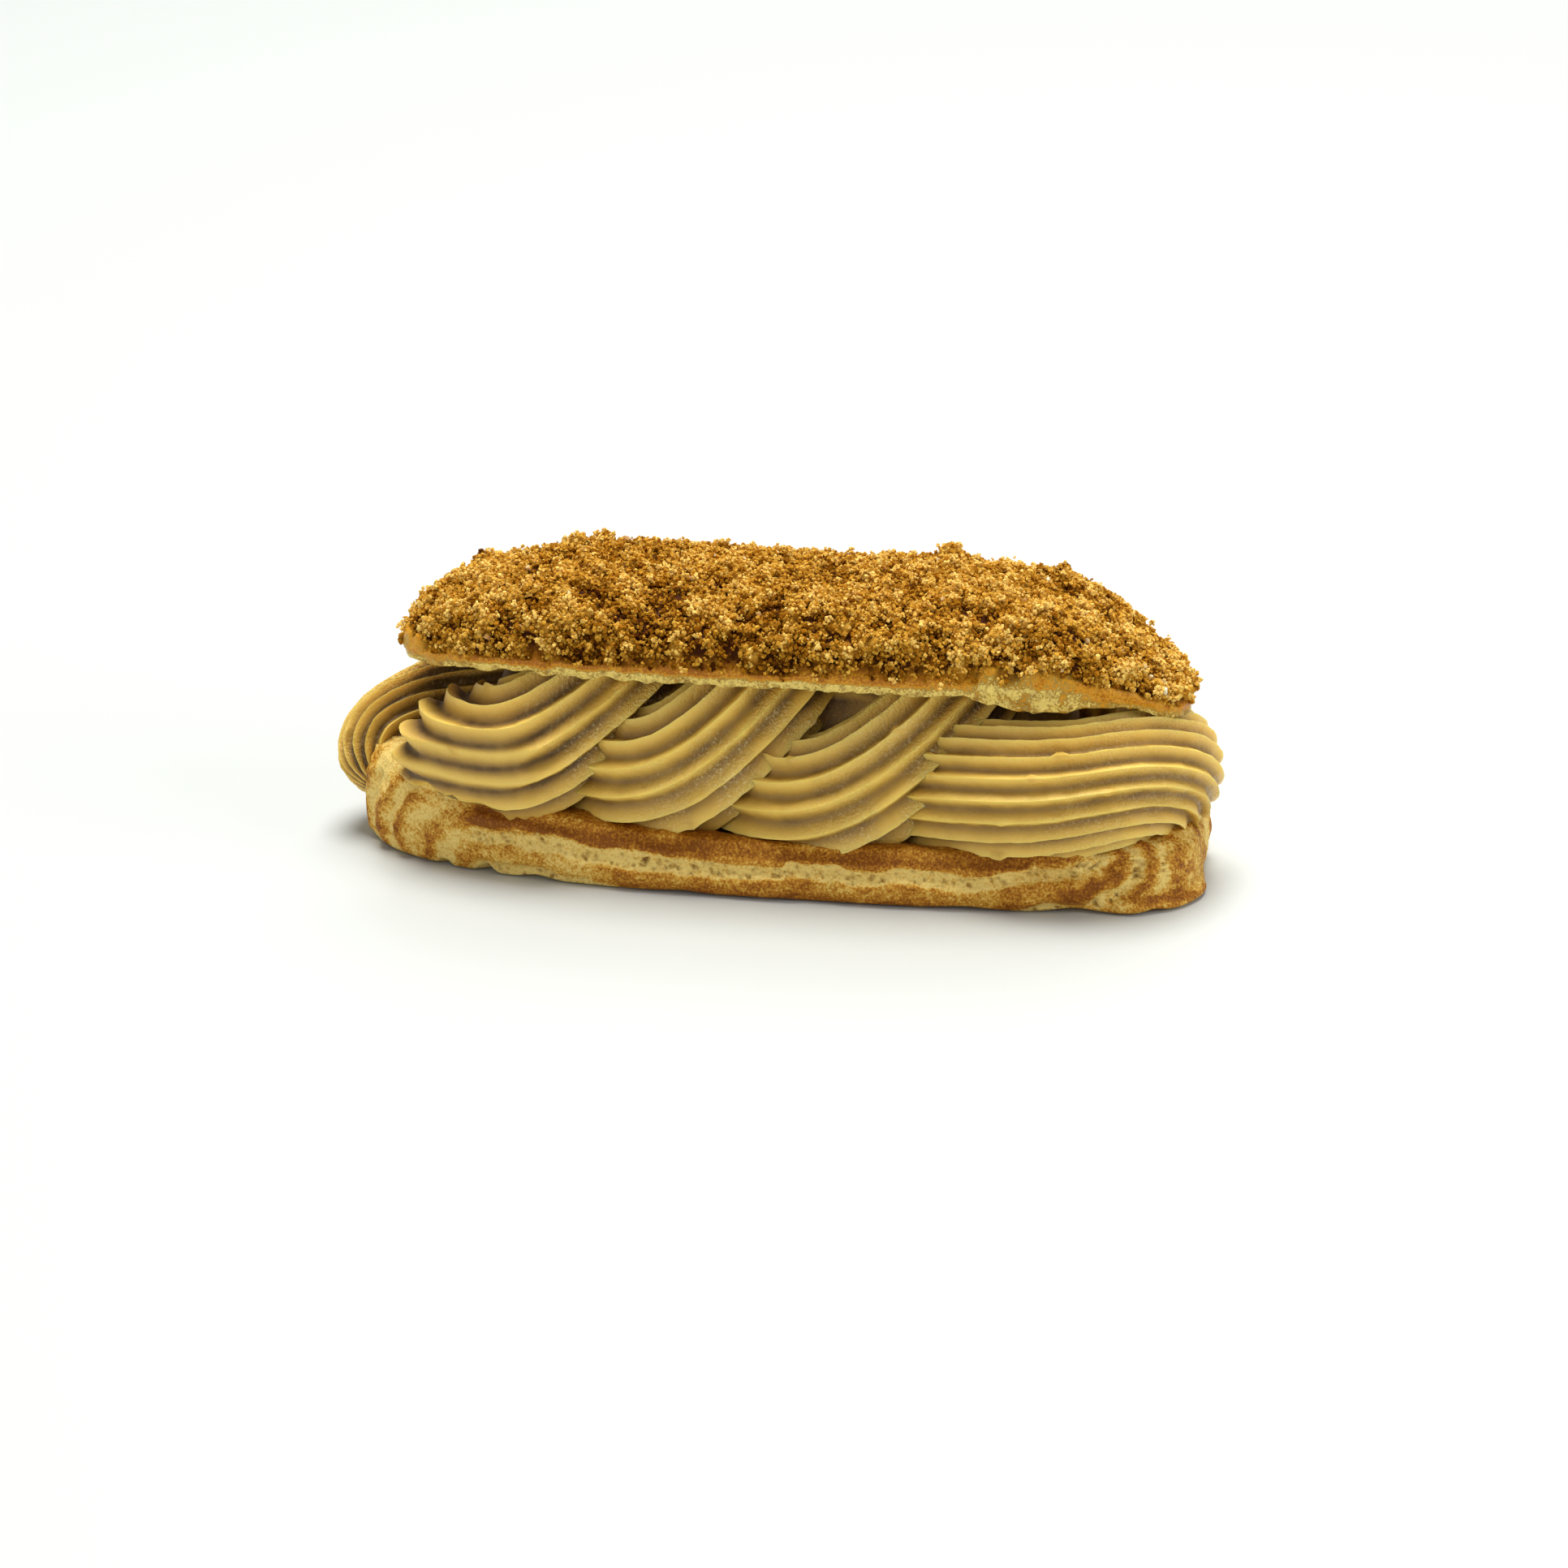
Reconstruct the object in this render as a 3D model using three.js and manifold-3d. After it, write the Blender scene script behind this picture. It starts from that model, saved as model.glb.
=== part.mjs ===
// A filled eclair: a ridged choux shell, cream piped over it with a star nozzle, and a choux lid coated in crumbs.
// Millimetres, +Z up. The long side runs along X and the front faces -Y.

import * as THREE from "three";
import { mergeVertices } from "three/addons/utils/BufferGeometryUtils.js";
import Module from "manifold-3d";

const wasm = await Module();
wasm.setup();

// Driving dimensions

const GAP = 0.3; // clearance kept between two pieces that rest on each other
const FOOTPRINT_SHIFT = 2; // brings the middle of the whole to x = 0, as the cream hangs out past the left end

const SHELL = {
  centreX: -0.6,
  halfLength: 62.2,
  halfWidth: 20.6,
  leftCorner: 2.5, // superellipse power of the plan: higher is squarer
  rightCorner: 4,
  rimHeight: 8.8, // at the middle of a side
  leftLift: 7, // extra height at each end, and how late along the side it comes
  leftLiftPower: 2.1,
  rightLift: 1.8,
  rightLiftPower: 4,
  bulge: 1.2, // how far the wall swells past its foot
  lipShare: 0.82, // where the dish starts, as a share of the plan
  dishFloor: 5.5,
  ridgePitch: 6, // ridges left by the nozzle, counted up the wall
  ridgeDepth: 0.55,
  grooveHeight: 5, // of the pale groove at the middle of a side
  ridgeSweep: 26, // how far the ridges slant as they turn round an end
};

const CREAM = {
  strandRadius: 9.9,
  headSwell: 1, // a strand is this much thicker over its first part
  headRoll: 44, // degrees that an open head is rolled, and how much rounder it is than the rest
  headRound: 0.35,
  ridgeDepth: 2, // of a swag
  endShare: 0.13, // share of a strand's length that each rounded end takes
  swag: { ridges: 15, flat: 0.8, hold: 1, twist: 0, steps: 10 }, // flat: depth of a strand as a share of its height
  tail: { ridges: 20, flat: 0.76, hold: 0, twist: 40, steps: 10 }, // twist: degrees of roll towards the end
  skirtReach: 0.98, // how far out the cream may hang where it rests on the rim, as a share of the shell's plan
  overhang: 4, // and how much further above the rim
  skirtTop: [6.4, 9.6], // heights between which the one turns into the other, where the rim is lowest
  skirtSoftness: 0.5,
  coreHalfLength: 44,
  coreHalfWidth: 12,
  coreBottom: 4,
  coreTop: 33,
};

const LID = {
  centreX: 1.3,
  halfLength: 59.1,
  halfWidth: 19.6,
  leftCorner: 2.8,
  rightCorner: 2.6,
  rimHeight: 32.3, // underside, at the middle of a side
  leftDroop: 3.2, // how far each tip hangs below that
  rightDroop: 6.8,
  droopPower: 5,
  edge: 2.2, // height of the bare cut edge
  undercut: 0.97, // share of the plan left at the underside
  rise: 10.6, // dome above the cut edge
  leftSpread: 3.4, // powers of the dome: a higher spread keeps it flat for longer
  rightSpread: 2.45,
  domePower: 2.25,
  reliefHeight: 0.8, // lumps in the crumb coat
  reliefSize: 6,
  clumps: 44,
  clumpRadius: [1, 2],
};

// How far the top of the lid stands off an even dome, by its place along the length.
const CROWN = [
  [-60, 0],
  [-33, -0.2],
  [-6, -1.5],
  [5, -1.3],
  [27, 0.1],
  [45, 1.2],
  [54, -1.4],
  [63, -3.4],
];

// Small helpers

const { lerp, clamp, smoothstep, degToRad } = THREE.MathUtils;
const GOLDEN_ANGLE = Math.PI * (3 - Math.sqrt(5));
const signedPower = (value, power) => Math.sign(value) * Math.abs(value) ** power;

// A repeatable random number between 0 and 1 for a lattice point.
function lattice(i, j, k) {
  const wave = Math.sin(i * 127.1 + j * 311.7 + k * 74.7) * 43758.5453;
  return wave - Math.floor(wave);
}

// Smooth lumps between -1 and 1, about one unit across.
function lumps(x, y, z) {
  const cell = [x, y, z].map(Math.floor);
  const [fx, fy, fz] = [x, y, z].map((value, axis) => {
    const part = value - cell[axis];
    return part * part * (3 - 2 * part);
  });
  const corner = (a, b, c) => lattice(cell[0] + a, cell[1] + b, cell[2] + c);
  const edge = (b, c) => lerp(corner(0, b, c), corner(1, b, c), fx);
  const face = (c) => lerp(edge(0, c), edge(1, c), fy);
  return 2 * lerp(face(0), face(1), fz) - 1;
}

// A point of the plan outline, with its outward direction, at an angle counted from +X.
function outline(plan, angle) {
  const power = 2 / (Math.cos(angle) < 0 ? plan.leftCorner : plan.rightCorner);
  const x = signedPower(Math.cos(angle), power);
  const y = signedPower(Math.sin(angle), power);
  const away = new THREE.Vector2(
    signedPower(Math.cos(angle), 2 - power) / plan.halfLength,
    signedPower(Math.sin(angle), 2 - power) / plan.halfWidth,
  ).normalize();
  return { x: plan.halfLength * x, y: plan.halfWidth * y, away };
}

// A closed skin: rows run from the top pole (share 0) to the bottom pole (share 1), and each row goes once round.
function skin(around, rows, place) {
  const geometry = new THREE.SphereGeometry(1, around, rows);
  const { position, uv } = geometry.attributes;
  for (let i = 0; i < position.count; i++) {
    const point = place(Math.PI + 2 * Math.PI * uv.getX(i), 1 - uv.getY(i));
    position.setXYZ(i, point.x, point.y, point.z);
  }
  return geometry;
}

function toSolid(geometry) {
  const bare = geometry.clone();
  bare.deleteAttribute("normal");
  bare.deleteAttribute("uv");
  const merged = mergeVertices(bare, 1e-3);
  return new wasm.Manifold(
    new wasm.Mesh({
      numProp: 3,
      vertProperties: new Float32Array(merged.attributes.position.array),
      triVerts: new Uint32Array(merged.index.array),
    }),
  );
}

function toMesh(name, solid, material) {
  const { vertProperties, triVerts } = solid.getMesh();
  const geometry = new THREE.BufferGeometry();
  geometry.setAttribute("position", new THREE.BufferAttribute(vertProperties, 3));
  geometry.setIndex(new THREE.BufferAttribute(triVerts, 1));
  geometry.computeVertexNormals();
  const mesh = new THREE.Mesh(geometry, material);
  mesh.name = name;
  return mesh;
}

// The largest body of a solid, so that a scrap cut loose from it is dropped.
const largest = (solid) => solid.decompose().reduce((a, b) => (a.volume() > b.volume() ? a : b));

// Choux shell: a shallow boat with a rolled rim and the ridges of the nozzle along its wall

const WALL_ROWS = { dish: 0.16, lip: 0.34, wall: 0.84 }; // shares of the skin where each stretch ends

// Height of a wall point in the ridge pattern: the ridges run level, then slant the same way round both ends.
function ridgeWave(edge, z) {
  const along = Math.abs(edge.x) / SHELL.halfLength;
  const way = -Math.sign(edge.x) * Math.sign(edge.y);
  const climb = way * SHELL.ridgeSweep * Math.max(0, along - 0.45) ** 2.4;
  return -Math.cos((2 * Math.PI * (z - climb - SHELL.grooveHeight)) / SHELL.ridgePitch);
}

// How much higher the rim is towards the two ends.
function rimLift(x) {
  const along = Math.min(1, Math.abs(x) / SHELL.halfLength);
  return x < 0 ? SHELL.leftLift * along ** SHELL.leftLiftPower : SHELL.rightLift * along ** SHELL.rightLiftPower;
}

function shellPoint(angle, share, grow) {
  const edge = outline(SHELL, angle);
  const rim = SHELL.rimHeight + rimLift(edge.x);
  let scale = 1;
  let out = 0;
  let z = 0;
  if (share <= WALL_ROWS.dish) {
    const part = share / WALL_ROWS.dish;
    scale = SHELL.lipShare * part;
    z = lerp(SHELL.dishFloor, rim - 0.6, part ** 4) + grow;
  } else if (share <= WALL_ROWS.lip) {
    const part = (share - WALL_ROWS.dish) / (WALL_ROWS.lip - WALL_ROWS.dish);
    scale = lerp(SHELL.lipShare, 1, Math.sin((part * Math.PI) / 2));
    z = rim - 0.6 + 0.6 * Math.sin(part * Math.PI) - 1.4 * part ** 3 + grow;
    out = grow * part;
  } else if (share <= WALL_ROWS.wall) {
    const part = 1 - (share - WALL_ROWS.lip) / (WALL_ROWS.wall - WALL_ROWS.lip);
    z = part * (rim - 2 + grow);
    const swell = SHELL.bulge * Math.sin(Math.PI * clamp(part, 0, 1)) ** 0.6;
    const fade = Math.min(1, 6 * part, 6 * (1 - part));
    out = swell + SHELL.ridgeDepth * ridgeWave(edge, z) * fade + grow;
  } else {
    scale = 1 - (share - WALL_ROWS.wall) / (1 - WALL_ROWS.wall);
    out = grow * scale;
  }
  return new THREE.Vector3(
    SHELL.centreX + edge.x * scale + edge.away.x * out,
    edge.y * scale + edge.away.y * out,
    z,
  );
}

const shellSolid = (grow) => toSolid(skin(60, 22, (angle, share) => shellPoint(angle, share, grow)));

// Lid: a domed cap with a bare cut edge, tips that hang down, and a lumpy crumb coat

function lidRim(x) {
  const along = clamp((x - LID.centreX) / LID.halfLength, -1, 1);
  const droop = along < 0 ? LID.leftDroop : LID.rightDroop;
  return LID.rimHeight - droop * Math.abs(along) ** LID.droopPower;
}

function crown(x) {
  const next = clamp(CROWN.findIndex(([place]) => place > x), 1, CROWN.length - 1);
  const [[x0, low], [x1, high]] = [CROWN[next - 1], CROWN[next]];
  return lerp(low, high, clamp((x - x0) / (x1 - x0), 0, 1));
}

// A point of the crumb coat, from its place in the plan counted in half lengths and half widths.
function coatPoint(across) {
  const corner = across.x < 0 ? LID.leftCorner : LID.rightCorner;
  const reach = Math.min(1, (Math.abs(across.x) ** corner + Math.abs(across.y) ** corner) ** (1 / corner));
  const spread = lerp(LID.leftSpread, LID.rightSpread, clamp(0.5 + across.x, 0, 1));
  const height = (1 - reach ** spread) ** (1 / LID.domePower);
  const x = LID.centreX + LID.halfLength * across.x;
  const top = lidRim(x) + LID.edge + (LID.rise + crown(x)) * height;
  const point = new THREE.Vector3(x, LID.halfWidth * across.y, top);
  const away = new THREE.Vector3(across.x / LID.halfLength, across.y / LID.halfWidth, height / LID.rise).normalize();
  const grid = point.clone().divideScalar(LID.reliefSize);
  const lift = LID.reliefHeight * lumps(grid.x, grid.y, grid.z) * Math.min(1, 4 * height);
  return point.addScaledVector(away, lift);
}

function lidBody() {
  const geometry = new THREE.BoxGeometry(2, 2, 2, 40, 12, 1);
  const { position } = geometry.attributes;
  for (let i = 0; i < position.count; i++) {
    const [u, v, w] = [position.getX(i), position.getY(i), position.getZ(i)];
    const corner = u < 0 ? LID.leftCorner : LID.rightCorner;
    const across = new THREE.Vector2(
      u * (1 - Math.abs(v) ** corner / 2) ** (1 / corner),
      v * (1 - Math.abs(u) ** corner / 2) ** (1 / corner),
    );
    if (w > 0) {
      const top = coatPoint(across);
      position.setXYZ(i, top.x, top.y, top.z);
    } else {
      const x = LID.centreX + LID.halfLength * LID.undercut * across.x;
      position.setXYZ(i, x, LID.halfWidth * LID.undercut * across.y, lidRim(x));
    }
  }
  return toSolid(geometry);
}

// Clumps of crumbs set evenly over the coat, with every other size and turn drawn from the lattice.
function crumbClumps() {
  const clumps = [];
  for (let n = 0; n < LID.clumps; n++) {
    const radius = lerp(...LID.clumpRadius, lattice(n, 1, 5) ** 2);
    const edge = outline(LID, n * GOLDEN_ANGLE);
    const reach = 0.96 * Math.sqrt((n + 0.5) / LID.clumps);
    const spot = coatPoint(new THREE.Vector2((reach * edge.x) / LID.halfLength, (reach * edge.y) / LID.halfWidth));
    const clump = new THREE.IcosahedronGeometry(radius, 0);
    clump.scale(1, lerp(0.8, 1.2, lattice(n, 3, 5)), lerp(0.8, 1.2, lattice(n, 4, 5)));
    clump.rotateX(2 * Math.PI * lattice(n, 5, 5));
    clump.rotateY(2 * Math.PI * lattice(n, 6, 5));
    clump.translate(spot.x, spot.y, spot.z - 0.2 * radius);
    clumps.push(toSolid(clump));
  }
  return clumps;
}

const lidSolid = () => largest(wasm.Manifold.union([lidBody(), ...crumbClumps()]));

// Everything above the lid's underside, a clearance lower, for trimming the cream. It is a seventh longer than the
// lid, so that one of its eight lower rows falls on the lid's tips.
function lidTrim() {
  const wide = { ...LID, halfLength: (LID.halfLength * 8) / 7, halfWidth: LID.halfWidth + 8 };
  const roof = LID.rimHeight + 20;
  return toSolid(
    skin(32, 16, (angle, share) => {
      const edge = outline(wide, angle);
      const scale = share < 0.5 ? 2 * share : 2 - 2 * share;
      const x = LID.centreX + edge.x * scale;
      return new THREE.Vector3(x, edge.y * scale, share < 0.5 ? roof : lidRim(x) - GAP);
    }),
  );
}

// Cream: strands with the nozzle's ridges, laid as a rope of swags along both sides

function nozzleOutline(ridges) {
  const depth = (CREAM.ridgeDepth * CREAM.swag.ridges) / ridges;
  const corners = [];
  for (let n = 0; n < 2 * ridges; n++) {
    const angle = (Math.PI * n) / ridges;
    const radius = n % 2 ? 1 - depth / CREAM.strandRadius : 1;
    corners.push(new THREE.Vector2(radius * Math.cos(angle), radius * Math.sin(angle)));
  }
  return new THREE.Shape(corners);
}

// The directions across a strand, carried both ways from its front-most step. The nozzle turns less than the path
// does as it climbs away from there: hold is how firmly it keeps its upward direction.
function strandFrames(path, steps, hold) {
  const places = Array.from({ length: steps + 1 }, (_, n) => path.getPointAt(n / steps));
  const ahead = places.map((_, n) => path.getTangentAt(n / steps));
  const start = places.reduce((best, place, n) => (place.y < places[best].y ? n : best), 0);
  const square = (side, n) => side.clone().projectOnPlane(ahead[n]).normalize();
  const out = [];
  out[start] = square(new THREE.Vector3(0, -1, 0), start);
  for (let n = start + 1; n <= steps; n++) out[n] = square(out[n - 1], n);
  for (let n = start - 1; n >= 0; n--) out[n] = square(out[n + 1], n);
  const up = out.map((side, n) => side.clone().cross(ahead[n]));
  const kept = up[start].clone();
  up.forEach((side, n) => side.addScaledVector(kept, hold * smoothstep(n, start, start + 0.3 * steps)).normalize());
  return { places, out, up };
}

// Half the width of the shell at a place along it.
function halfWidthAt(x) {
  const corner = x < 0 ? SHELL.leftCorner : SHELL.rightCorner;
  return SHELL.halfWidth * (1 - clamp(Math.abs(x) / SHELL.halfLength, 0, 0.97) ** corner) ** (1 / corner);
}

// Holds the cream back to the rim that it rests on, easing it in rather than slicing it. Way is -1 for the rear row.
// A tail hangs over the end of the shell, so only a swag follows the plan there.
function tucked(place, way, isTail) {
  const aboveRim = smoothstep(place.z - rimLift(way * place.x), ...CREAM.skirtTop);
  const width = halfWidthAt(isTail ? 0 : way * place.x);
  const reach = CREAM.skirtReach * width + CREAM.overhang * aboveRim;
  const over = Math.max(0, -place.y - reach + CREAM.skirtSoftness);
  place.y += over ** 2 / (over + CREAM.skirtSoftness);
  return place;
}

// One strand along a path, thicker at its head and rounded off at both ends. An open head has head set to 1.
function strand({ path: points, turn, head }, { ridges, flat, hold, twist, steps }, way) {
  const knots = points.map((point) => new THREE.Vector3(...point));
  const path = new THREE.CatmullRomCurve3(knots, false, "catmullrom", 0.5);
  const geometry = new THREE.ExtrudeGeometry(nozzleOutline(ridges), { depth: 1, steps, bevelEnabled: false });
  const { places, out, up } = strandFrames(path, steps, hold);
  const { position } = geometry.attributes;
  const middle = new THREE.Vector2();
  for (let i = 0; i < position.count; i++) {
    const step = Math.round(position.getZ(i) * steps);
    const share = step / steps;
    const fromEnd = Math.min(1, Math.min(share, 1 - share) / CREAM.endShare);
    const full = CREAM.strandRadius + CREAM.headSwell * (1 - smoothstep(share, 0.35, 0.6));
    const size = full * Math.max(0.3, Math.sqrt(1 - (1 - fromEnd) ** 2));
    const headRoll = head * CREAM.headRoll * (1 - smoothstep(share, 0, 0.34));
    const roll = degToRad(turn + headRoll - twist * smoothstep(share, 0.55, 0.95));
    const depth = flat + head * CREAM.headRound * (1 - smoothstep(share, 0.2, 0.42));
    const tooth = new THREE.Vector2(position.getX(i), -position.getY(i)).rotateAround(middle, roll);
    const place = places[step]
      .clone()
      .addScaledVector(out[step], size * depth * tooth.x)
      .addScaledVector(up[step], size * tooth.y);
    position.setXYZ(i, ...tucked(place, way, twist > 0));
  }
  return toSolid(geometry);
}

// The swags of a row. The first has an open head, each of the others comes out from behind the one before it, and all
// hang over the front and climb under the lid. Turn is how far the teeth are rolled, in degrees, and head is 1 for an
// open head.
const SWAGS = [
  {
    turn: -17,
    head: 1,
    path: [
      [-47.3, -5.5, 15],
      [-46.5, -8.6, 16.2],
      [-44.2, -12.6, 17],
      [-38.4, -14.2, 18.3],
      [-33.2, -13.4, 20.5],
      [-28, -11.4, 24.3],
      [-23.7, -8.6, 27.6],
      [-20.8, -3.4, 30.6],
      [-19.4, 3.5, 32.6],
    ],
  },
  {
    turn: 0,
    head: 0,
    path: [
      [-34, 1, 13.3],
      [-28.6, -5.6, 14.2],
      [-23.6, -10.8, 14.6],
      [-18.4, -13.4, 15],
      [-12.8, -14, 17.4],
      [-7.4, -12.8, 21.8],
      [-2.8, -10.4, 26.1],
      [0.6, -5, 30.2],
      [2.2, 3, 32.4],
    ],
  },
  {
    turn: 12,
    head: 0,
    path: [
      [-11, 1, 10.4],
      [-5.6, -5.6, 11.3],
      [-0.6, -10.8, 11.5],
      [4.6, -13.4, 11.7],
      [10.2, -14, 13.4],
      [15.8, -13, 16.8],
      [21.2, -11, 21.2],
      [26, -7.6, 25.4],
      [29, -1, 29.6],
      [30.4, 5, 31.6],
    ],
  },
];

// The last strand of a row lies level, turns the corner and dips its tail over the end of the shell.
const FRONT_TAIL = {
  turn: 9,
  head: 0,
  path: [
    [18, -5, 13.6],
    [23.5, -10.4, 15],
    [30.5, -13.9, 16.2],
    [38, -15.2, 16.8],
    [45.3, -15.2, 17.8],
    [52.2, -12.6, 19.3],
    [56.4, -6.5, 18.2],
    [57.6, 0.5, 14.7],
    [56.4, 5.5, 10.8],
  ],
};
const REAR_TAIL = {
  turn: 9,
  head: 0,
  path: [
    [18, -5, 13.6],
    [23.5, -10.4, 15],
    [30.5, -13.6, 16.2],
    [38, -14.2, 16.6],
    [45, -13.6, 16.4],
    [52.3, -10.6, 15.6],
    [57.6, -6, 13.6],
    [61, -1, 10],
    [61, 3.4, 6.2],
  ],
};

function creamRow(tail, way) {
  const swags = SWAGS.map((swag) => strand(swag, CREAM.swag, way));
  return wasm.Manifold.union([...swags, strand(tail, CREAM.tail, way)]);
}

function creamCore() {
  const core = new THREE.SphereGeometry(1, 16, 8);
  const { position } = core.attributes;
  const middle = (CREAM.coreTop + CREAM.coreBottom) / 2;
  for (let i = 0; i < position.count; i++) {
    position.setXYZ(
      i,
      CREAM.coreHalfLength * signedPower(position.getX(i), 0.6),
      -CREAM.coreHalfWidth * signedPower(position.getZ(i), 0.7),
      middle + (CREAM.coreTop - middle) * signedPower(position.getY(i), 0.5),
    );
  }
  return toSolid(core);
}

function creamSolid() {
  const rear = creamRow(REAR_TAIL, -1).rotate([0, 0, 180]);
  const whole = wasm.Manifold.union([creamRow(FRONT_TAIL, 1), rear, creamCore()]);
  return largest(whole.subtract(shellSolid(GAP)).subtract(lidTrim()));
}

// The eclair

const baked = new THREE.MeshStandardMaterial({ color: 0xc68b45, roughness: 0.75, metalness: 0 });
const piped = new THREE.MeshStandardMaterial({ color: 0xb48d50, roughness: 0.45, metalness: 0 });
const crumbed = new THREE.MeshStandardMaterial({ color: 0xa86a20, roughness: 0.9, metalness: 0 });

const eclair = new THREE.Group();
eclair.add(toMesh("choux_shell", shellSolid(0), baked));
eclair.add(toMesh("piped_cream", creamSolid(), piped));
eclair.add(toMesh("crumbed_lid", lidSolid(), crumbed));
eclair.position.x = FOOTPRINT_SHIFT;

export default eclair;
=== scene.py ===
# Filled eclair: choux shell, star-piped caramel cream, and a lid coated in biscuit crumbs
import math
import bmesh
import bpy
import numpy as np
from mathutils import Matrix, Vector, kdtree


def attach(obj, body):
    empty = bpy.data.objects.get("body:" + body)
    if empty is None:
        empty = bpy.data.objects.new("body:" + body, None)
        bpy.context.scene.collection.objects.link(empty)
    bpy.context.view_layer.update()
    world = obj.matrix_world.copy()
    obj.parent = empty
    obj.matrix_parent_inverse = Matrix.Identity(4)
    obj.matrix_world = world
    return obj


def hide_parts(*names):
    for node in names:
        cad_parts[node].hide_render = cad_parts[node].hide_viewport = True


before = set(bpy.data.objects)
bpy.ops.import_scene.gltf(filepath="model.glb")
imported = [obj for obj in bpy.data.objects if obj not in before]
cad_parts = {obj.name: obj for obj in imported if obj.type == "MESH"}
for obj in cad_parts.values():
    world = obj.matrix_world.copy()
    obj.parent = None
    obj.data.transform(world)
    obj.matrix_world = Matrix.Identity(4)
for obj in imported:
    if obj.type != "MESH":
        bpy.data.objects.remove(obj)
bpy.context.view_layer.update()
mm = 0.001
body = "root"
shiftX = 2.0  # the pastry's own middle sits this far right of the frame's origin, in mm
onFace = 0.9999  # a point of the unit box past this lies on that face
print("frame loaded")


# helpers for shapes, in mm around the middle of the shell

def latticeValue(i, j, k, seed):
    wave = np.sin(i * 127.1 + j * 311.7 + k * 74.7 + seed * 19.19) * 43758.5453
    return wave - np.floor(wave)


def softNoise(points, size, seed):  # smooth lumps from -1 to 1, about one size across
    grid = np.asarray(points, float) / size + 100.0
    cell = np.floor(grid)
    fade = grid - cell
    fade = fade * fade * (3 - 2 * fade)
    total = np.zeros(len(grid))
    for a in (0, 1):
        for b in (0, 1):
            for c in (0, 1):
                weight = np.where(a, fade[:, 0], 1 - fade[:, 0])
                weight = weight * np.where(b, fade[:, 1], 1 - fade[:, 1])
                weight = weight * np.where(c, fade[:, 2], 1 - fade[:, 2])
                total += weight * latticeValue(cell[:, 0] + a, cell[:, 1] + b, cell[:, 2] + c, seed)
    return 2 * total - 1


def cellNoise(points, size, seed):  # distance to the nearest of scattered seeds, 0 on a seed
    grid = np.asarray(points, float) / size + 100.0
    cell = np.floor(grid)
    nearest = np.full(len(grid), 9.0)
    for a in (-1, 0, 1):
        for b in (-1, 0, 1):
            for c in (-1, 0, 1):
                i, j, k = cell[:, 0] + a, cell[:, 1] + b, cell[:, 2] + c
                spot = np.stack([i + latticeValue(i, j, k, seed),
                                 j + latticeValue(i, j, k, seed + 1),
                                 k + latticeValue(i, j, k, seed + 2)], 1)
                nearest = np.minimum(nearest, np.linalg.norm(grid - spot, axis=1))
    return nearest


def smoothStep(low, high, value):
    part = np.clip((value - low) / (high - low), 0, 1)
    return part * part * (3 - 2 * part)


def signedPower(value, power):
    return np.sign(value) * np.abs(value) ** power


def gridBox(cutsX, cutsY, cutsZ):  # a cube of -1 to 1 with an even grid on every face
    bm = bmesh.new()
    bmesh.ops.create_cube(bm, size=2)
    for axis, cuts in enumerate((cutsX, cutsY, cutsZ)):
        along = []
        for edge in bm.edges:
            span = edge.verts[1].co - edge.verts[0].co
            if abs(span[axis]) > 1e-4:
                along.append(edge)
        if cuts:
            bmesh.ops.subdivide_edges(bm, edges=along, cuts=cuts, use_grid_fill=True)
    return bm


def toMesh(bm, name):
    mesh = bpy.data.meshes.new(name)
    bm.to_mesh(mesh)
    bm.free()
    return mesh


def readPoints(mesh):
    flat = np.empty(len(mesh.vertices) * 3, np.float32)
    mesh.vertices.foreach_get("co", flat)
    return flat.reshape(-1, 3).astype(float)


def writePoints(mesh, points):
    mesh.vertices.foreach_set("co", np.asarray(points, np.float32).ravel())
    mesh.update()


def readNormals(mesh):
    flat = np.empty(len(mesh.vertices) * 3, np.float32)
    mesh.vertex_normals.foreach_get("vector", flat)
    return flat.reshape(-1, 3).astype(float)


def placed(points):  # from mm around the shell's middle to the frame's metres
    return (np.asarray(points) + [shiftX, 0, 0]) * mm


def addMask(mesh, name, values):
    mask = mesh.attributes.new(name, "FLOAT", "POINT")
    mask.data.foreach_set("value", np.asarray(values, np.float32))


def addPiece(mesh, name, material, nodes=()):
    piece = bpy.data.objects.new(name, mesh)
    bpy.context.scene.collection.objects.link(piece)
    mesh.materials.clear()
    mesh.materials.append(material)
    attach(piece, body)
    if nodes:
        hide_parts(*nodes)


def planOf(u, v, plan):  # bends a square grid to the outline; reach is 0 in the middle and 1 on the outline
    corner = np.where(u < 0, plan["leftCorner"], plan["rightCorner"])
    x = u * (1 - np.abs(v) ** corner / 2) ** (1 / corner)
    y = v * (1 - np.abs(u) ** corner / 2) ** (1 / corner)
    reach = np.clip((np.abs(x) ** corner + np.abs(y) ** corner) ** (1 / corner), 0, 1)
    away = np.stack([signedPower(x, corner - 1) / plan["halfLength"],
                     signedPower(y, corner - 1) / plan["halfWidth"]], 1)
    away /= np.maximum(np.linalg.norm(away, axis=1), 1e-9)[:, None]
    return x * plan["halfLength"], y * plan["halfWidth"], reach, away


# helpers for node materials

def newMaterial(name):
    material = bpy.data.materials.new(name)
    material.use_nodes = True
    return material, material.node_tree.nodes, material.node_tree.links


def addNode(nodes, kind, **values):
    node = nodes.new(kind)
    for key, value in values.items():
        if key in node.inputs:
            node.inputs[key].default_value = value
        else:
            setattr(node, key, value)
    return node


def setInputs(node, values):
    for name, value in values.items():
        node.inputs[name].default_value = value


def meshMask(nodes, name):  # a mask that the mesh carries as an attribute
    return addNode(nodes, "ShaderNodeAttribute", attribute_name=name).outputs["Fac"]


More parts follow.
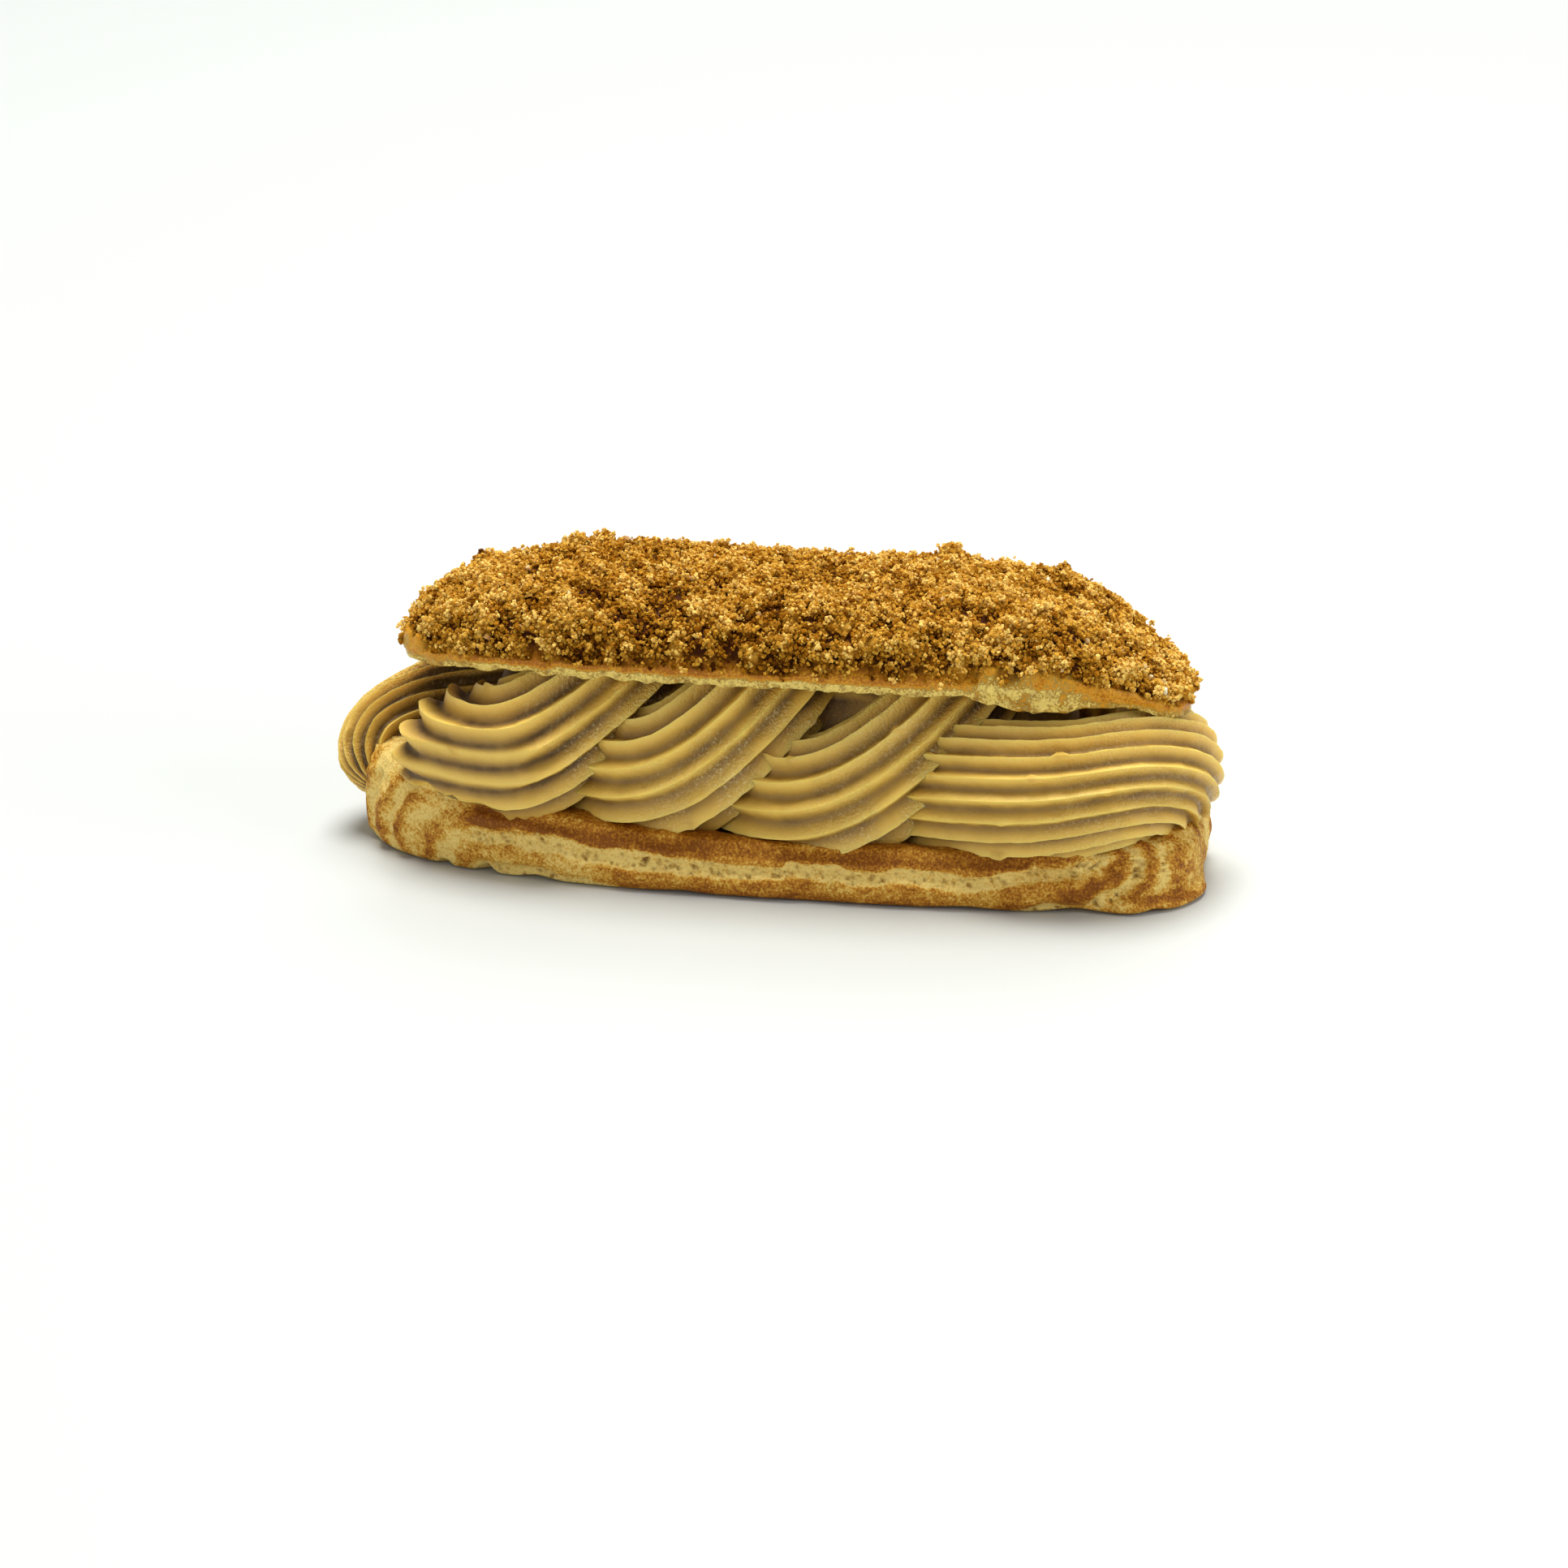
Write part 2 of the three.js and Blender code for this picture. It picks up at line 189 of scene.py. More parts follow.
def addMath(nodes, links, operation, *values):
    node = addNode(nodes, "ShaderNodeMath", operation=operation)
    for socket, value in zip(node.inputs, values):
        if isinstance(value, (int, float)):
            socket.default_value = value
        else:
            links.new(value, socket)
    return node.outputs["Value"]


def addRange(nodes, links, value, limits):
    node = nodes.new("ShaderNodeMapRange")
    setInputs(node, limits)
    links.new(value, node.inputs["Value"])
    return node.outputs["Result"]


def addRamp(nodes, links, level, stops):
    node = nodes.new("ShaderNodeValToRGB")
    ramp = node.color_ramp
    while len(ramp.elements) < len(stops):
        ramp.elements.new(0.5)
    for element, (place, colour) in zip(ramp.elements, stops):
        element.position = place
        element.color = (*colour, 1)
    links.new(level, node.inputs["Fac"])
    return node.outputs["Color"]


def addMix(nodes, links, mask, first, second, blend="MIX"):  # second is a socket or a plain colour
    node = addNode(nodes, "ShaderNodeMix", data_type="RGBA", blend_type=blend)
    maskIn, firstIn, secondIn = node.inputs[0], node.inputs[6], node.inputs[7]
    links.new(mask, maskIn)
    links.new(first, firstIn)
    if isinstance(second, tuple):
        secondIn.default_value = (*second, 1)
    else:
        links.new(second, secondIn)
    return node.outputs[2]


def addBump(nodes, links, height, strength, distance):
    bump = addNode(nodes, "ShaderNodeBump", Strength=strength, Distance=distance)
    links.new(height, bump.inputs["Height"])
    links.new(bump.outputs["Normal"], nodes["Principled BSDF"].inputs["Normal"])


def makeMottleGroup():  # two sizes of soft patches and a fine grain, all from object coordinates
    group = bpy.data.node_groups.new("mottle", "ShaderNodeTree")
    for name, value in (("Patch", 250.0), ("Fleck", 900.0), ("Grain", 3000.0)):
        group.interface.new_socket(name, in_out="INPUT", socket_type="NodeSocketFloat").default_value = value
    for name in ("Patches", "Flecks", "Grains"):
        group.interface.new_socket(name, in_out="OUTPUT", socket_type="NodeSocketFloat")
    nodes, links = group.nodes, group.links
    source = nodes.new("NodeGroupInput")
    target = nodes.new("NodeGroupOutput")
    place = nodes.new("ShaderNodeTexCoord")
    for size, out, detail in (("Patch", "Patches", 3), ("Fleck", "Flecks", 4), ("Grain", "Grains", 2)):
        noise = addNode(nodes, "ShaderNodeTexNoise", Detail=detail, Roughness=0.6)
        links.new(place.outputs["Object"], noise.inputs["Vector"])
        links.new(source.outputs[size], noise.inputs["Scale"])
        links.new(noise.outputs["Fac"], target.inputs[out])
    return group


mottle = makeMottleGroup()


def addMottle(nodes, patch, fleck, grain):
    node = nodes.new("ShaderNodeGroup")
    node.node_tree = mottle
    setInputs(node, {"Patch": patch, "Fleck": fleck, "Grain": grain})
    return node.outputs


# choux shell

shell = {
    "centreX": -0.6,
    "halfLength": 62.2,
    "halfWidth": 20.6,
    "leftCorner": 2.5,
    "rightCorner": 4.0,
    "rimHeight": 8.8,
    "leftLift": 7.0,
    "rightLift": 1.8,
    "bulge": 1.2,
    "lipShare": 0.82,
    "lipRoll": 0.6,
    "lipFall": 1.4,
    "dishFloor": 5.5,
    "ridgePitch": 6.0,
    "grooveDepth": 1.0,
    "footLift": 0.25,
    "footFlare": 2.0,  # at the right-hand end only
    "pitDepth": 0.8,
    "quarter": 75.0,  # the outline from the middle of a side to a tip, as the lines below count it
    "stretchFrom": 55.0,  # where that count starts to differ from mm
    "endsFrom": (42, 47),  # from here on endStrokes takes over from grooveLine
    "grid": (299, 89, 35),
    "seed": 11,
}
# height of the pale groove against distance along the side
grooveLine = ((-75, 2), (-54, 2.4), (-47.8, 4.9), (-43, 6.6), (-36, 6.8), (-31, 6.1), (-23, 5.2),
              (-5, 4.4), (10, 4.7), (34, 4.6), (40.5, 6.1), (45, 7), (75, 8))
# scallops in the lower edge: distance along the side, height, half width
scallops = ((-42.2, 1.6, 1.2), (-49.2, 1.1, 0.8), (-34, 0.6, 2.5), (45.5, 0.6, 3.5), (30, 0.4, 4.0),
            (-12, 0.3, 3.0), (57, 0.5, 2.0))
# ridges and grooves drawn on the two ends: relief, browning, half width, and points by distance and height
endStrokes = (
    (0.5, 0.55, 1.4, ((-66.5, 13), (-68.5, 8), (-69, 2))),
    (-0.5, -0.2, 1.2, ((-62.5, 13), (-65, 8), (-66.4, 4), (-66, 1))),
    (0.5, 0.58, 1.2, ((-58.5, 12), (-61, 8), (-63.5, 4), (-62.5, 1))),
    (-0.5, -0.22, 1.2, ((-56, 12), (-59, 8), (-60.4, 5.3), (-59.3, 2.5))),
    (0.5, 0.72, 0.9, ((-53.4, 10.6), (-56.5, 7), (-57.6, 4.8), (-57.2, 2.6), (-55, 0.6))),
    (-0.3, -0.05, 1.2, ((-50.5, 9.5), (-53.2, 6.5), (-54.6, 4), (-54, 1.6))),
    (0.4, 0.85, 1.5, ((-40, 9.8), (-46, 8.6), (-49.3, 6.1), (-51.3, 4), (-51.8, 2))),
    (-0.3, -0.15, 1.3, ((-46.5, 5), (-48.5, 3.2), (-48, 1.5))),
    (0.3, 0.5, 1.1, ((-38, 3.4), (-42.5, 3.2), (-45.5, 1.4))),
    (0.2, 0.4, 0.8, ((39, 8.2), (45, 9), (48, 10.2))),
    (-0.6, -0.5, 0.85, ((39, 5.6), (45.4, 6.6), (48.8, 8), (51.6, 10))),
    (0.5, 0.8, 1.6, ((39, 2.6), (46, 3.6), (50.4, 5.4), (52.6, 7.6), (53.6, 10))),
    (-0.6, -0.5, 1.0, ((56, 11), (55.5, 8), (54.1, 5.4), (51.6, 3.2), (48, 1.7))),
    (0.7, 0.55, 0.75, ((57.3, 9.6), (57.4, 7), (56.2, 4.8), (53.4, 3))),
    (-0.4, -0.5, 0.7, ((59, 10), (58.8, 6.4), (58.2, 4))),
    (0.0, 0.35, 1.8, ((61, 11.5), (61.5, 7), (61.5, 4))),
    (-0.5, -0.5, 0.6, ((64.6, 11.8), (62.8, 10.9), (60.9, 9.4))),
    (0.4, 0.4, 0.6, ((55, 1.8), (58, 2.1), (62, 1.8), (68, 0.8))),
)


def rimLift(x):  # how much higher the rim is towards the two ends
    along = np.clip(np.abs(x) / shell["halfLength"], 0, 1)
    return np.where(x < 0, shell["leftLift"] * along ** 2.1, shell["rightLift"] * along ** 4)


def halfWidthAt(x):
    corner = np.where(x < 0, shell["leftCorner"], shell["rightCorner"])
    along = np.clip(np.abs(x - shell["centreX"]) / shell["halfLength"], 0, 0.97)
    return shell["halfWidth"] * (1 - along ** corner) ** (1 / corner)


def endMask(run):  # 0 along the sides, 1 round the two ends
    return smoothStep(*shell["endsFrom"], np.abs(run))


def strokeMask(run, z, points, width):  # 1 on a line drawn on the wall, falling off over its half width
    nearest = np.full(len(run), 1e9)
    for (x0, z0), (x1, z1) in zip(points, points[1:]):
        dx, dz = x1 - x0, z1 - z0
        part = np.clip(((run - x0) * dx + (z - z0) * dz) / (dx * dx + dz * dz), 0, 1)
        nearest = np.minimum(nearest, np.hypot(run - x0 - part * dx, z - z0 - part * dz))
    return np.exp(-(nearest / width) ** 2)


def sideDistance(x, y, plan):  # distance along the outline from the middle of a side, left is negative
    table = np.linspace(0, math.pi / 2, 400)
    out = np.zeros(len(x))
    for sign, corner in ((-1, plan["leftCorner"]), (1, plan["rightCorner"])):
        lineX = plan["halfLength"] * np.sin(table) ** (2 / corner)
        lineY = plan["halfWidth"] * np.cos(table) ** (2 / corner)
        run = np.concatenate([[0], np.cumsum(np.hypot(np.diff(lineX), np.diff(lineY)))])
        start = plan["stretchFrom"]
        stretched = start + (run - start) * (plan["quarter"] - start) / (run[-1] - start)
        run = np.where(run < start, run, stretched)
        spot = np.arctan2((np.abs(x) / plan["halfLength"]) ** (corner / 2),
                          (np.abs(y) / plan["halfWidth"]) ** (corner / 2))
        mine = x * sign >= 0
        out[mine] = sign * np.interp(spot[mine], table, run)
    return np.where(y < 0, out, -out)


def shellShape(box, grow=0.0):
    u, v, w = box.T
    x, y, reach, away = planOf(u, v, shell)
    rim = shell["rimHeight"] + rimLift(x / np.maximum(reach, 1e-6))
    lip = shell["lipShare"]
    inDish = np.clip(reach / lip, 0, 1)
    onLip = np.clip((reach - lip) / (1 - lip), 0, 1)
    lipTurn = np.arcsin(onLip) * 2 / math.pi
    lipFoot = rim - shell["lipRoll"]
    dish = shell["dishFloor"] + (lipFoot - shell["dishFloor"]) * inDish ** 4
    lipTop = lipFoot + shell["lipRoll"] * np.sin(lipTurn * math.pi) - shell["lipFall"] * lipTurn ** 3
    top = np.where(reach < lip, dish, lipTop) + grow
    part = (w + 1) / 2
    run = sideDistance(x, y, shell)
    lift = np.full(len(x), shell["footLift"])
    for middle, height, width in scallops:
        lift += height * np.exp(-((run - middle) / width) ** 2)
    under = w < -onFace
    foot = lift * np.where(under, smoothStep(0.55, 0.92, reach), 1)
    z = np.where(w > onFace, top, np.where(under, foot, foot + part * (rim - 2 + grow - foot)))
    onWall = reach > onFace
    heights = np.array(grooveLine)
    offset = (z - np.interp(run, heights[:, 0], heights[:, 1])) / shell["ridgePitch"]
    wall = np.stack([run, z, z * 0], 1)
    seed = shell["seed"]
    offset = offset + 0.07 * softNoise(wall, 5, seed + 20) + 0.06 * softNoise(wall, 2.2, seed + 21)
    narrow = np.interp(run, (-44, -24, 0), (1.7, 2.2, 3.2))
    groove = (0.5 + 0.5 * np.cos(2 * math.pi * offset)) ** narrow * (1 - endMask(run))
    swayed = run + 0.8 * softNoise(wall, 3.2, seed + 22) + 0.3 * softNoise(wall, 1.2, seed + 23)
    lowered = z + 0.6 * softNoise(wall, 2.6, seed + 24)
    uneven = 0.95 + 0.45 * softNoise(wall, 2.4, seed + 25)
    relief = np.zeros(len(x))
    shade = np.zeros(len(x))
    for height, browner, width, line in endStrokes:
        mask = strokeMask(swayed, lowered, line, width)
        relief += height * mask
        shade += browner * mask * uneven
    swell = shell["bulge"] * np.sin(math.pi * np.clip(part, 0, 1)) ** 0.5
    fade = np.clip(np.minimum(7 * part, 7 * (1 - part)), 0, 1)
    flare = shell["footFlare"] * smoothStep(2.6, 0.5, z) * smoothStep(47, 56, run) * smoothStep(75, 66, run)
    push = np.where(onWall | (under & (reach > 0.9)), flare * smoothStep(0.9, 1.0, reach), 0)
    relief = relief - shell["grooveDepth"] * groove
    push += np.where(onWall, swell + relief * fade + grow, 0)
    over = (w > onFace) * smoothStep(0.7, 0.9, reach) * smoothStep(1.0, 0.97, reach)
    z = z + 0.8 * relief * over  # the ridges run on over the lip
    points = np.stack([x + away[:, 0] * push + shell["centreX"], y + away[:, 1] * push, z], 1)
    return points, groove, shade, onWall, part, run


def makeShell():
    mesh = toMesh(gridBox(*shell["grid"]), "chouxShell")
    box = readPoints(mesh)
    points, groove, shade, onWall, part, run = shellShape(box)
    ends = endMask(run)
    pale = np.maximum(groove, ends * smoothStep(0.05, 0.35, -shade))
    seed = shell["seed"]
    lumps = softNoise(points, 8.0, seed) * 0.35 + softNoise(points, 3.0, seed + 1) * 0.2
    rough = softNoise(points, 1.2, seed + 2) * 0.09 + softNoise(points, 0.6, seed + 3) * 0.07
    torn = smoothStep(0.15, 0.8, pale) * onWall
    rough = rough * (1 + 1.2 * torn + 0.8 * ends)
    holes = smoothStep(0.3, 0.16, cellNoise(points, 1.9, seed + 4)) * smoothStep(0.55, 0.9, pale)
    pores = smoothStep(0.44, 0.2, cellNoise(points, 0.9, seed + 8)) * smoothStep(0.2, 0.7, pale)
    patchy = smoothStep(-0.25, 0.35, softNoise(points, 7, seed + 9))
    pits = np.clip(holes * patchy + (0.5 + 0.3 * ends) * pores, 0, 1) * onWall
    top = box[:, 2] > onFace
    under = box[:, 2] < -onFace
    writePoints(mesh, points)
    normals = readNormals(mesh)
    shift = (lumps + rough - shell["pitDepth"] * pits) * np.where(under, 0.0, 1.0)
    shift = shift * np.where(onWall, np.clip(part * 8, 0, 1), 1)
    points = points + normals * shift[:, None]
    points[:, 2] = np.maximum(points[:, 2], 0)
    # each band is browner towards its lower edge, and the band under the rim is the darkest
    brown = 0.56 + 0.18 * softNoise(points, 9, seed + 5) + 0.16 * softNoise(points, 3, seed + 6)
    brown += 0.12 * softNoise(points, 1.3, seed + 13)
    brown += 0.3 * smoothStep(2.6, 0.3, points[:, 2])
    brown += 0.46 * smoothStep(5.8, 7.6, points[:, 2]) * smoothStep(48, 40, np.abs(run))
    brown -= 0.08 * smoothStep(-8, -24, run) * smoothStep(-48, -40, run) * smoothStep(6.5, 5, points[:, 2])
    brown = brown - 0.75 * smoothStep(0.12, 0.6, groove)
    brown -= 0.16 * smoothStep(-18, -32, run) * smoothStep(7.5, 6.5, points[:, 2])
    # the left-hand end is less brown than the right, partly the pastry's own tone and partly painted light
    # from the left
    tips = np.where(run < 0, 0.08, 0.32) + 0.06 * smoothStep(57, 61, run) + shade
    tips += 0.14 * softNoise(points, 4.5, seed + 10) + 0.24 * softNoise(points, 1.8, seed + 12)
    tips += 0.26 * softNoise(points, 0.8, seed + 14) + 0.14 * smoothStep(1.6, 0.3, points[:, 2])
    brown = brown + (tips - brown) * ends
    plain = 0.66 + 0.25 * softNoise(points, 5, seed + 7)
    brown = np.where(top & ~onWall, plain + (brown - plain) * ends, brown)
    writePoints(mesh, placed(points))
    addMask(mesh, "browning", np.clip(brown, 0, 1))
    addMask(mesh, "pits", pits)
    mesh.shade_smooth()
    return mesh


chouxStops = ((0.0, (0.84, 0.62, 0.19)), (0.35, (0.66, 0.37, 0.05)), (0.6, (0.46, 0.18, 0.01)),
              (1.0, (0.22, 0.062, 0.001)))
pitShadeColour = (0.42, 0.3, 0.2)


def chouxMaterial(name, stops):
    material, nodes, links = newMaterial(name)
    bsdf = nodes["Principled BSDF"]
    setInputs(bsdf, {"Subsurface Weight": 0.08, "Subsurface Radius": (1.0, 0.5, 0.2),
                     "Subsurface Scale": 0.0015, "Specular IOR Level": 0.2})
    spots = addMottle(nodes, 260, 900, 2600)  # they break up the browning
    level = addMath(nodes, links, "MULTIPLY_ADD", spots["Patches"], 0.3, meshMask(nodes, "browning"))
    level = addMath(nodes, links, "MULTIPLY_ADD", spots["Flecks"], 0.6, level)
    level = addMath(nodes, links, "MULTIPLY_ADD", spots["Grains"], 1.6, level)
    level = addMath(nodes, links, "SUBTRACT", level, 1.25)
    colour = addRamp(nodes, links, level, stops)
    # painted shade: the pits and holes are darkened
    colour = addMix(nodes, links, meshMask(nodes, "pits"), colour, pitShadeColour, "MULTIPLY")
    links.new(colour, bsdf.inputs["Base Color"])
    dry = addRange(nodes, links, level, {"To Min": 0.72, "To Max": 0.46})
    links.new(dry, bsdf.inputs["Roughness"])
    height = addMath(nodes, links, "ADD", spots["Flecks"], spots["Grains"])
    addBump(nodes, links, height, 0.8, 0.0003)
    return material


bakedChoux = chouxMaterial("bakedChoux", chouxStops)
addPiece(makeShell(), "chouxShell", bakedChoux, ["choux_shell"])
print("shell done")


# lid: choux cap with a bare cut edge, and the coat that the crumbs stick to

lid = {
    "centreX": 1.3,
    "halfLength": 59.1,
    "halfWidth": 19.6,
    "leftCorner": 2.8,
    "rightCorner": 2.6,
    "rimHeight": 32.3,
    "leftDroop": 3.2,
    "rightDroop": 6.8,
    "droopPower": 5,
    "edge": 2.2,
    "undercut": 0.6,
    "rise": 10.0,
    "leftSpread": 3.4,
    "rightSpread": 2.45,
    "domePower": 2.25,
    "coatLine": 1.7,  # how far above the rim the crumbs begin
    "coatSink": 0.85,  # the coat starts this deep, and its lumps bring it up to the solid's height
    "clumps": 3400,
    "clumpRadius": (0.4, 1.5),
    "clumpHeight": 0.85,
    "grid": (279, 91, 9),
    "seed": 41,
}
# how far the top stands off an even dome, by x
crown = ((-60, 0), (-45, 0.2), (-33, -0.2), (-20, -0.9), (-6, -1.5), (5, -1.3), (15, -0.4), (27, 0.1),
         (38, 1.0), (45, 1.1), (51, -0.8), (57, -2.8), (63, -3.6))
# high heaps of crumbs: x, y, height, radius
heaps = ((-47, 6, 2.1, 1.4), (-32, 7, 1.6, 1.7), (-29, 8, 1.5, 1.2), (23.5, 8, 2.2, 1.8), (39.5, 6, 2.4, 1.4),
         (36.5, 7, 1.5, 1.0), (-13, 8, 1.0, 1.6), (5.5, 8, 1.1, 1.3), (4, -12, 0.9, 1.8), (-8, -10, 1.0, 1.6),
         (-52, -2, 0.8, 1.5))
# places on the cut edge that are torn and hang lower: x, side, drop, half width
tears = ((34.5, -1, 1.5, 4.5), (41, -1, 1.3, 4.0), (-22, 1, 0.9, 6.0))


def lidRim(x):
    along = np.clip((x - lid["centreX"]) / lid["halfLength"], -1, 1)
    droop = np.where(along < 0, lid["leftDroop"], lid["rightDroop"])
    return lid["rimHeight"] - droop * np.abs(along) ** lid["droopPower"]


def tearDrop(x, y):
    drop = np.zeros(len(x))
    for middle, side, depth, width in tears:
        edge = smoothStep(0.4, 0.8, y * side / lid["halfWidth"])
        drop += depth * np.exp(-((x - middle) / width) ** 4) * edge
    return drop


def lidShape(box):
    u, v, w = box.T
    x, y, reach, away = planOf(u, v, lid)
    spread = np.interp(x / lid["halfLength"], (-0.5, 0.5), (lid["leftSpread"], lid["rightSpread"]))
    height = (1 - reach ** spread) ** (1 / lid["domePower"])
    part = (w + 1) / 2
    onTop = w > onFace
    inset = np.where(onTop, 0, lid["undercut"] * (1 - part)) * reach
    x, y = x - away[:, 0] * inset + lid["centreX"], y - away[:, 1] * inset
    low = lidRim(x) - tearDrop(x, y) * smoothStep(0.75, 0.95, reach)
    tops = np.array(crown)
    rise = lid["rise"] + np.interp(x, tops[:, 0], tops[:, 1])
    edgeTop = lidRim(x) + lid["edge"]
    z = np.where(onTop, edgeTop + rise * height, low + (edgeTop - low) * part)
    return np.stack([x, y, z], 1), part, onTop, w < -onFace


def surfaceSpots(mesh, count, rng, weight):  # random places by area, as corner numbers and shares
    mesh.calc_loop_triangles()
    corners = np.empty(len(mesh.loop_triangles) * 3, np.int32)
    mesh.loop_triangles.foreach_get("vertices", corners)
    corners = corners.reshape(-1, 3)
    points = readPoints(mesh)
    a, b, c = (points[corners[:, n]] for n in range(3))
    area = np.linalg.norm(np.cross(b - a, c - a), axis=1) * weight[corners].mean(1)
    chosen = rng.choice(len(corners), count, p=area / area.sum())
    share = rng.random((count, 2))
    share = np.where(share.sum(1, keepdims=True) > 1, 1 - share, share)
    weights = np.stack([1 - share.sum(1), share[:, 0], share[:, 1]], 1)
    return corners[chosen], weights


def valuesAt(values, pick, weights):
    return (values[pick] * weights[:, :, None]).sum(1)


def makeLid():
    mesh = toMesh(gridBox(*lid["grid"]), "crumbedLid")
    box = readPoints(mesh)
    points, part, onTop, under = lidShape(box)
    writePoints(mesh, points)
    normals = readNormals(mesh)
    seed = lid["seed"]
    rng = np.random.default_rng(seed)
    above = points[:, 2] - lidRim(points[:, 0])
    line = lid["coatLine"] + 0.9 * softNoise(points, 6, seed + 1) + 0.7 * softNoise(points, 2, seed + 2)
    line += 0.7 * smoothStep(-24, -10, points[:, 0])
    tip = smoothStep(-50.5, -55.5, points[:, 0]) * smoothStep(2, -8, points[:, 1])
    line += tip * (3.2 + 2.5 * softNoise(points, 1.8, seed + 20))  # the left-hand tip is bare
    line += 1.2 * smoothStep(24, 29, points[:, 0]) * smoothStep(48, 43, points[:, 0])  # over the torn places
    coated = smoothStep(0, 0.5, above - line) * onTop
    # clumps stand on the coat as low domes
    density = coated * (0.4 + smoothStep(-0.45, 0.25, softNoise(points, 4, seed + 12)))
    pick, weights = surfaceSpots(mesh, lid["clumps"], rng, density)
    centres = valuesAt(points, pick, weights)
    low, high = lid["clumpRadius"]
    radii = low + (high - low) * rng.random(lid["clumps"]) ** 2.6
    relief = np.zeros(len(points))
    for centre, radius in zip(centres, radii):
        gap = radius ** 2 - ((points - centre) ** 2).sum(1)
        relief = np.maximum(relief, np.sqrt(np.maximum(gap, 0)))
    swell = 0.6 * softNoise(points, 11, seed + 9) + 0.25 * softNoise(points, 5, seed + 13)
    for x, y, height, radius in heaps:
        swell += height * np.exp(-((points[:, 0] - x) ** 2 + (points[:, 1] - y) ** 2) / radius ** 2)
    thin = 0.5 + 0.5 * smoothStep(0.1, 0.7, normals[:, 2])
    shift = 0.25 + lid["clumpHeight"] * relief + swell + 0.15 * softNoise(points, 0.9, seed + 3)
    shift = coated * (thin * shift - lid["coatSink"])
    bare = 0.18 * softNoise(points, 3.5, seed + 4) + 0.08 * softNoise(points, 1.0, seed + 6)
    onEdge = (~onTop) & (~under)
    tear = np.clip(tearDrop(points[:, 0], points[:, 1]), 0, 1)
    ragged = 0.32 * softNoise(points, 2.2, seed + 7) + 0.2 * softNoise(points, 0.9, seed + 8)
    chunks = 1.2 - 1.1 * np.clip(cellNoise(points, 2.2, seed + 14), 0, 1)
    chunks -= 0.8 * np.clip(cellNoise(points, 0.9, seed + 19), 0, 1)
    ragged = ragged + tear * chunks
    shift = shift + np.where(onEdge, ragged, bare * (1 - coated))
    shift = np.where(under, 0.25 * softNoise(points, 1.5, seed + 15), shift)
    points = points + normals * shift[:, None]
    plan = points * [1, 1, 0]
    hang = 0.45 * softNoise(plan, 3.0, seed + 17) + 0.2 * softNoise(plan, 1.1, seed + 18)
    points[:, 2] += np.where(onTop, 0, hang * (1 - part))
    cut = np.where(onEdge, smoothStep(0.75, 0.2, part), 0) + under * 1.0
    cut = np.maximum(cut, tear * np.where(onTop, smoothStep(2.4, 1.2, above), 1))
    # glazed brown above, pale along the lower rim, at the left-hand tip and where it is torn
    brown = 0.7 + 0.2 * softNoise(points, 6, seed + 10) + 0.2 * softNoise(points, 2, seed + 11)
    rim = np.where(onEdge, smoothStep(0.72, 0.4, part), 0) + under * 1.0
    band = smoothStep(28, 16, points[:, 0]) * smoothStep(-50, -42, points[:, 0])
    brown = brown + band * (0.32 - 0.6 * rim)
    brown = brown - 0.2 * smoothStep(2.0, 0.6, above) - cut * (0.26 + 0.14 * smoothStep(18, 30, points[:, 0]))
    brown = brown - 0.3 * smoothStep(-50, -56, points[:, 0]) * smoothStep(5, 2, above) - 0.2 * tear
    brown = brown + 0.4 * tear * smoothStep(0.32, 0.55, softNoise(points, 1.7, seed + 21))
    # dark pits in the cut edge, darkened in the colour as painted shade
    pits = cut * smoothStep(0.5, 0.15, cellNoise(points, 1.1, seed + 16))
    writePoints(mesh, placed(points))
    addMask(mesh, "browning", np.clip(brown, 0, 1))
    addMask(mesh, "pits", np.clip(0.7 * pits, 0, 1))
    addMask(mesh, "coated", coated)
    addMask(mesh, "relief", np.clip(relief / 1.3, 0, 1))
    mesh.shade_smooth()
    return mesh


glazeStops = ((0.0, (0.86, 0.65, 0.17)), (0.3, (0.4, 0.235, 0.034)), (0.6, (0.73, 0.33, 0.016)),
              (1.0, (0.42, 0.14, 0.004)))
crumbStops = ((0.0, (0.06, 0.012, 0.0002)), (0.3, (0.34, 0.13, 0.004)), (0.65, (0.63, 0.33, 0.035)),
              (1.0, (0.88, 0.58, 0.15)))


def lidMaterial():
    material = chouxMaterial("crumbedChoux", glazeStops)
    nodes, links = material.node_tree.nodes, material.node_tree.links
    bsdf = nodes["Principled BSDF"]
    setInputs(bsdf, {"Specular IOR Level": 0.08, "Coat Roughness": 0.3})
    baked = bsdf.inputs["Base Color"].links[0].from_socket
    coated = meshMask(nodes, "coated")
    spots = addMottle(nodes, 700, 1800, 4200)
    # painted shade: the coat darkens between the clumps, where the relief is low
    level = addMath(nodes, links, "MULTIPLY_ADD", spots["Flecks"], 0.6, meshMask(nodes, "relief"))
    level = addMath(nodes, links, "SUBTRACT", level, 0.6)
    crumbed = addRamp(nodes, links, level, crumbStops)
    links.new(addMix(nodes, links, coated, baked, crumbed), bsdf.inputs["Base Color"])
    glaze = addMath(nodes, links, "SUBTRACT", 0.28, coated)  # only the bare choux shines
    glaze.node.use_clamp = True
    links.new(glaze, bsdf.inputs["Coat Weight"])
    return material


crumbedChoux = lidMaterial()
lidMesh = makeLid()
addPiece(lidMesh, "crumbedLid", crumbedChoux, ["crumbed_lid"])
print("lid done")


# loose crumbs over the coat, in clusters: loose is how far one spreads, high how far it may stand off,
# and a low cover keeps it to the clumps

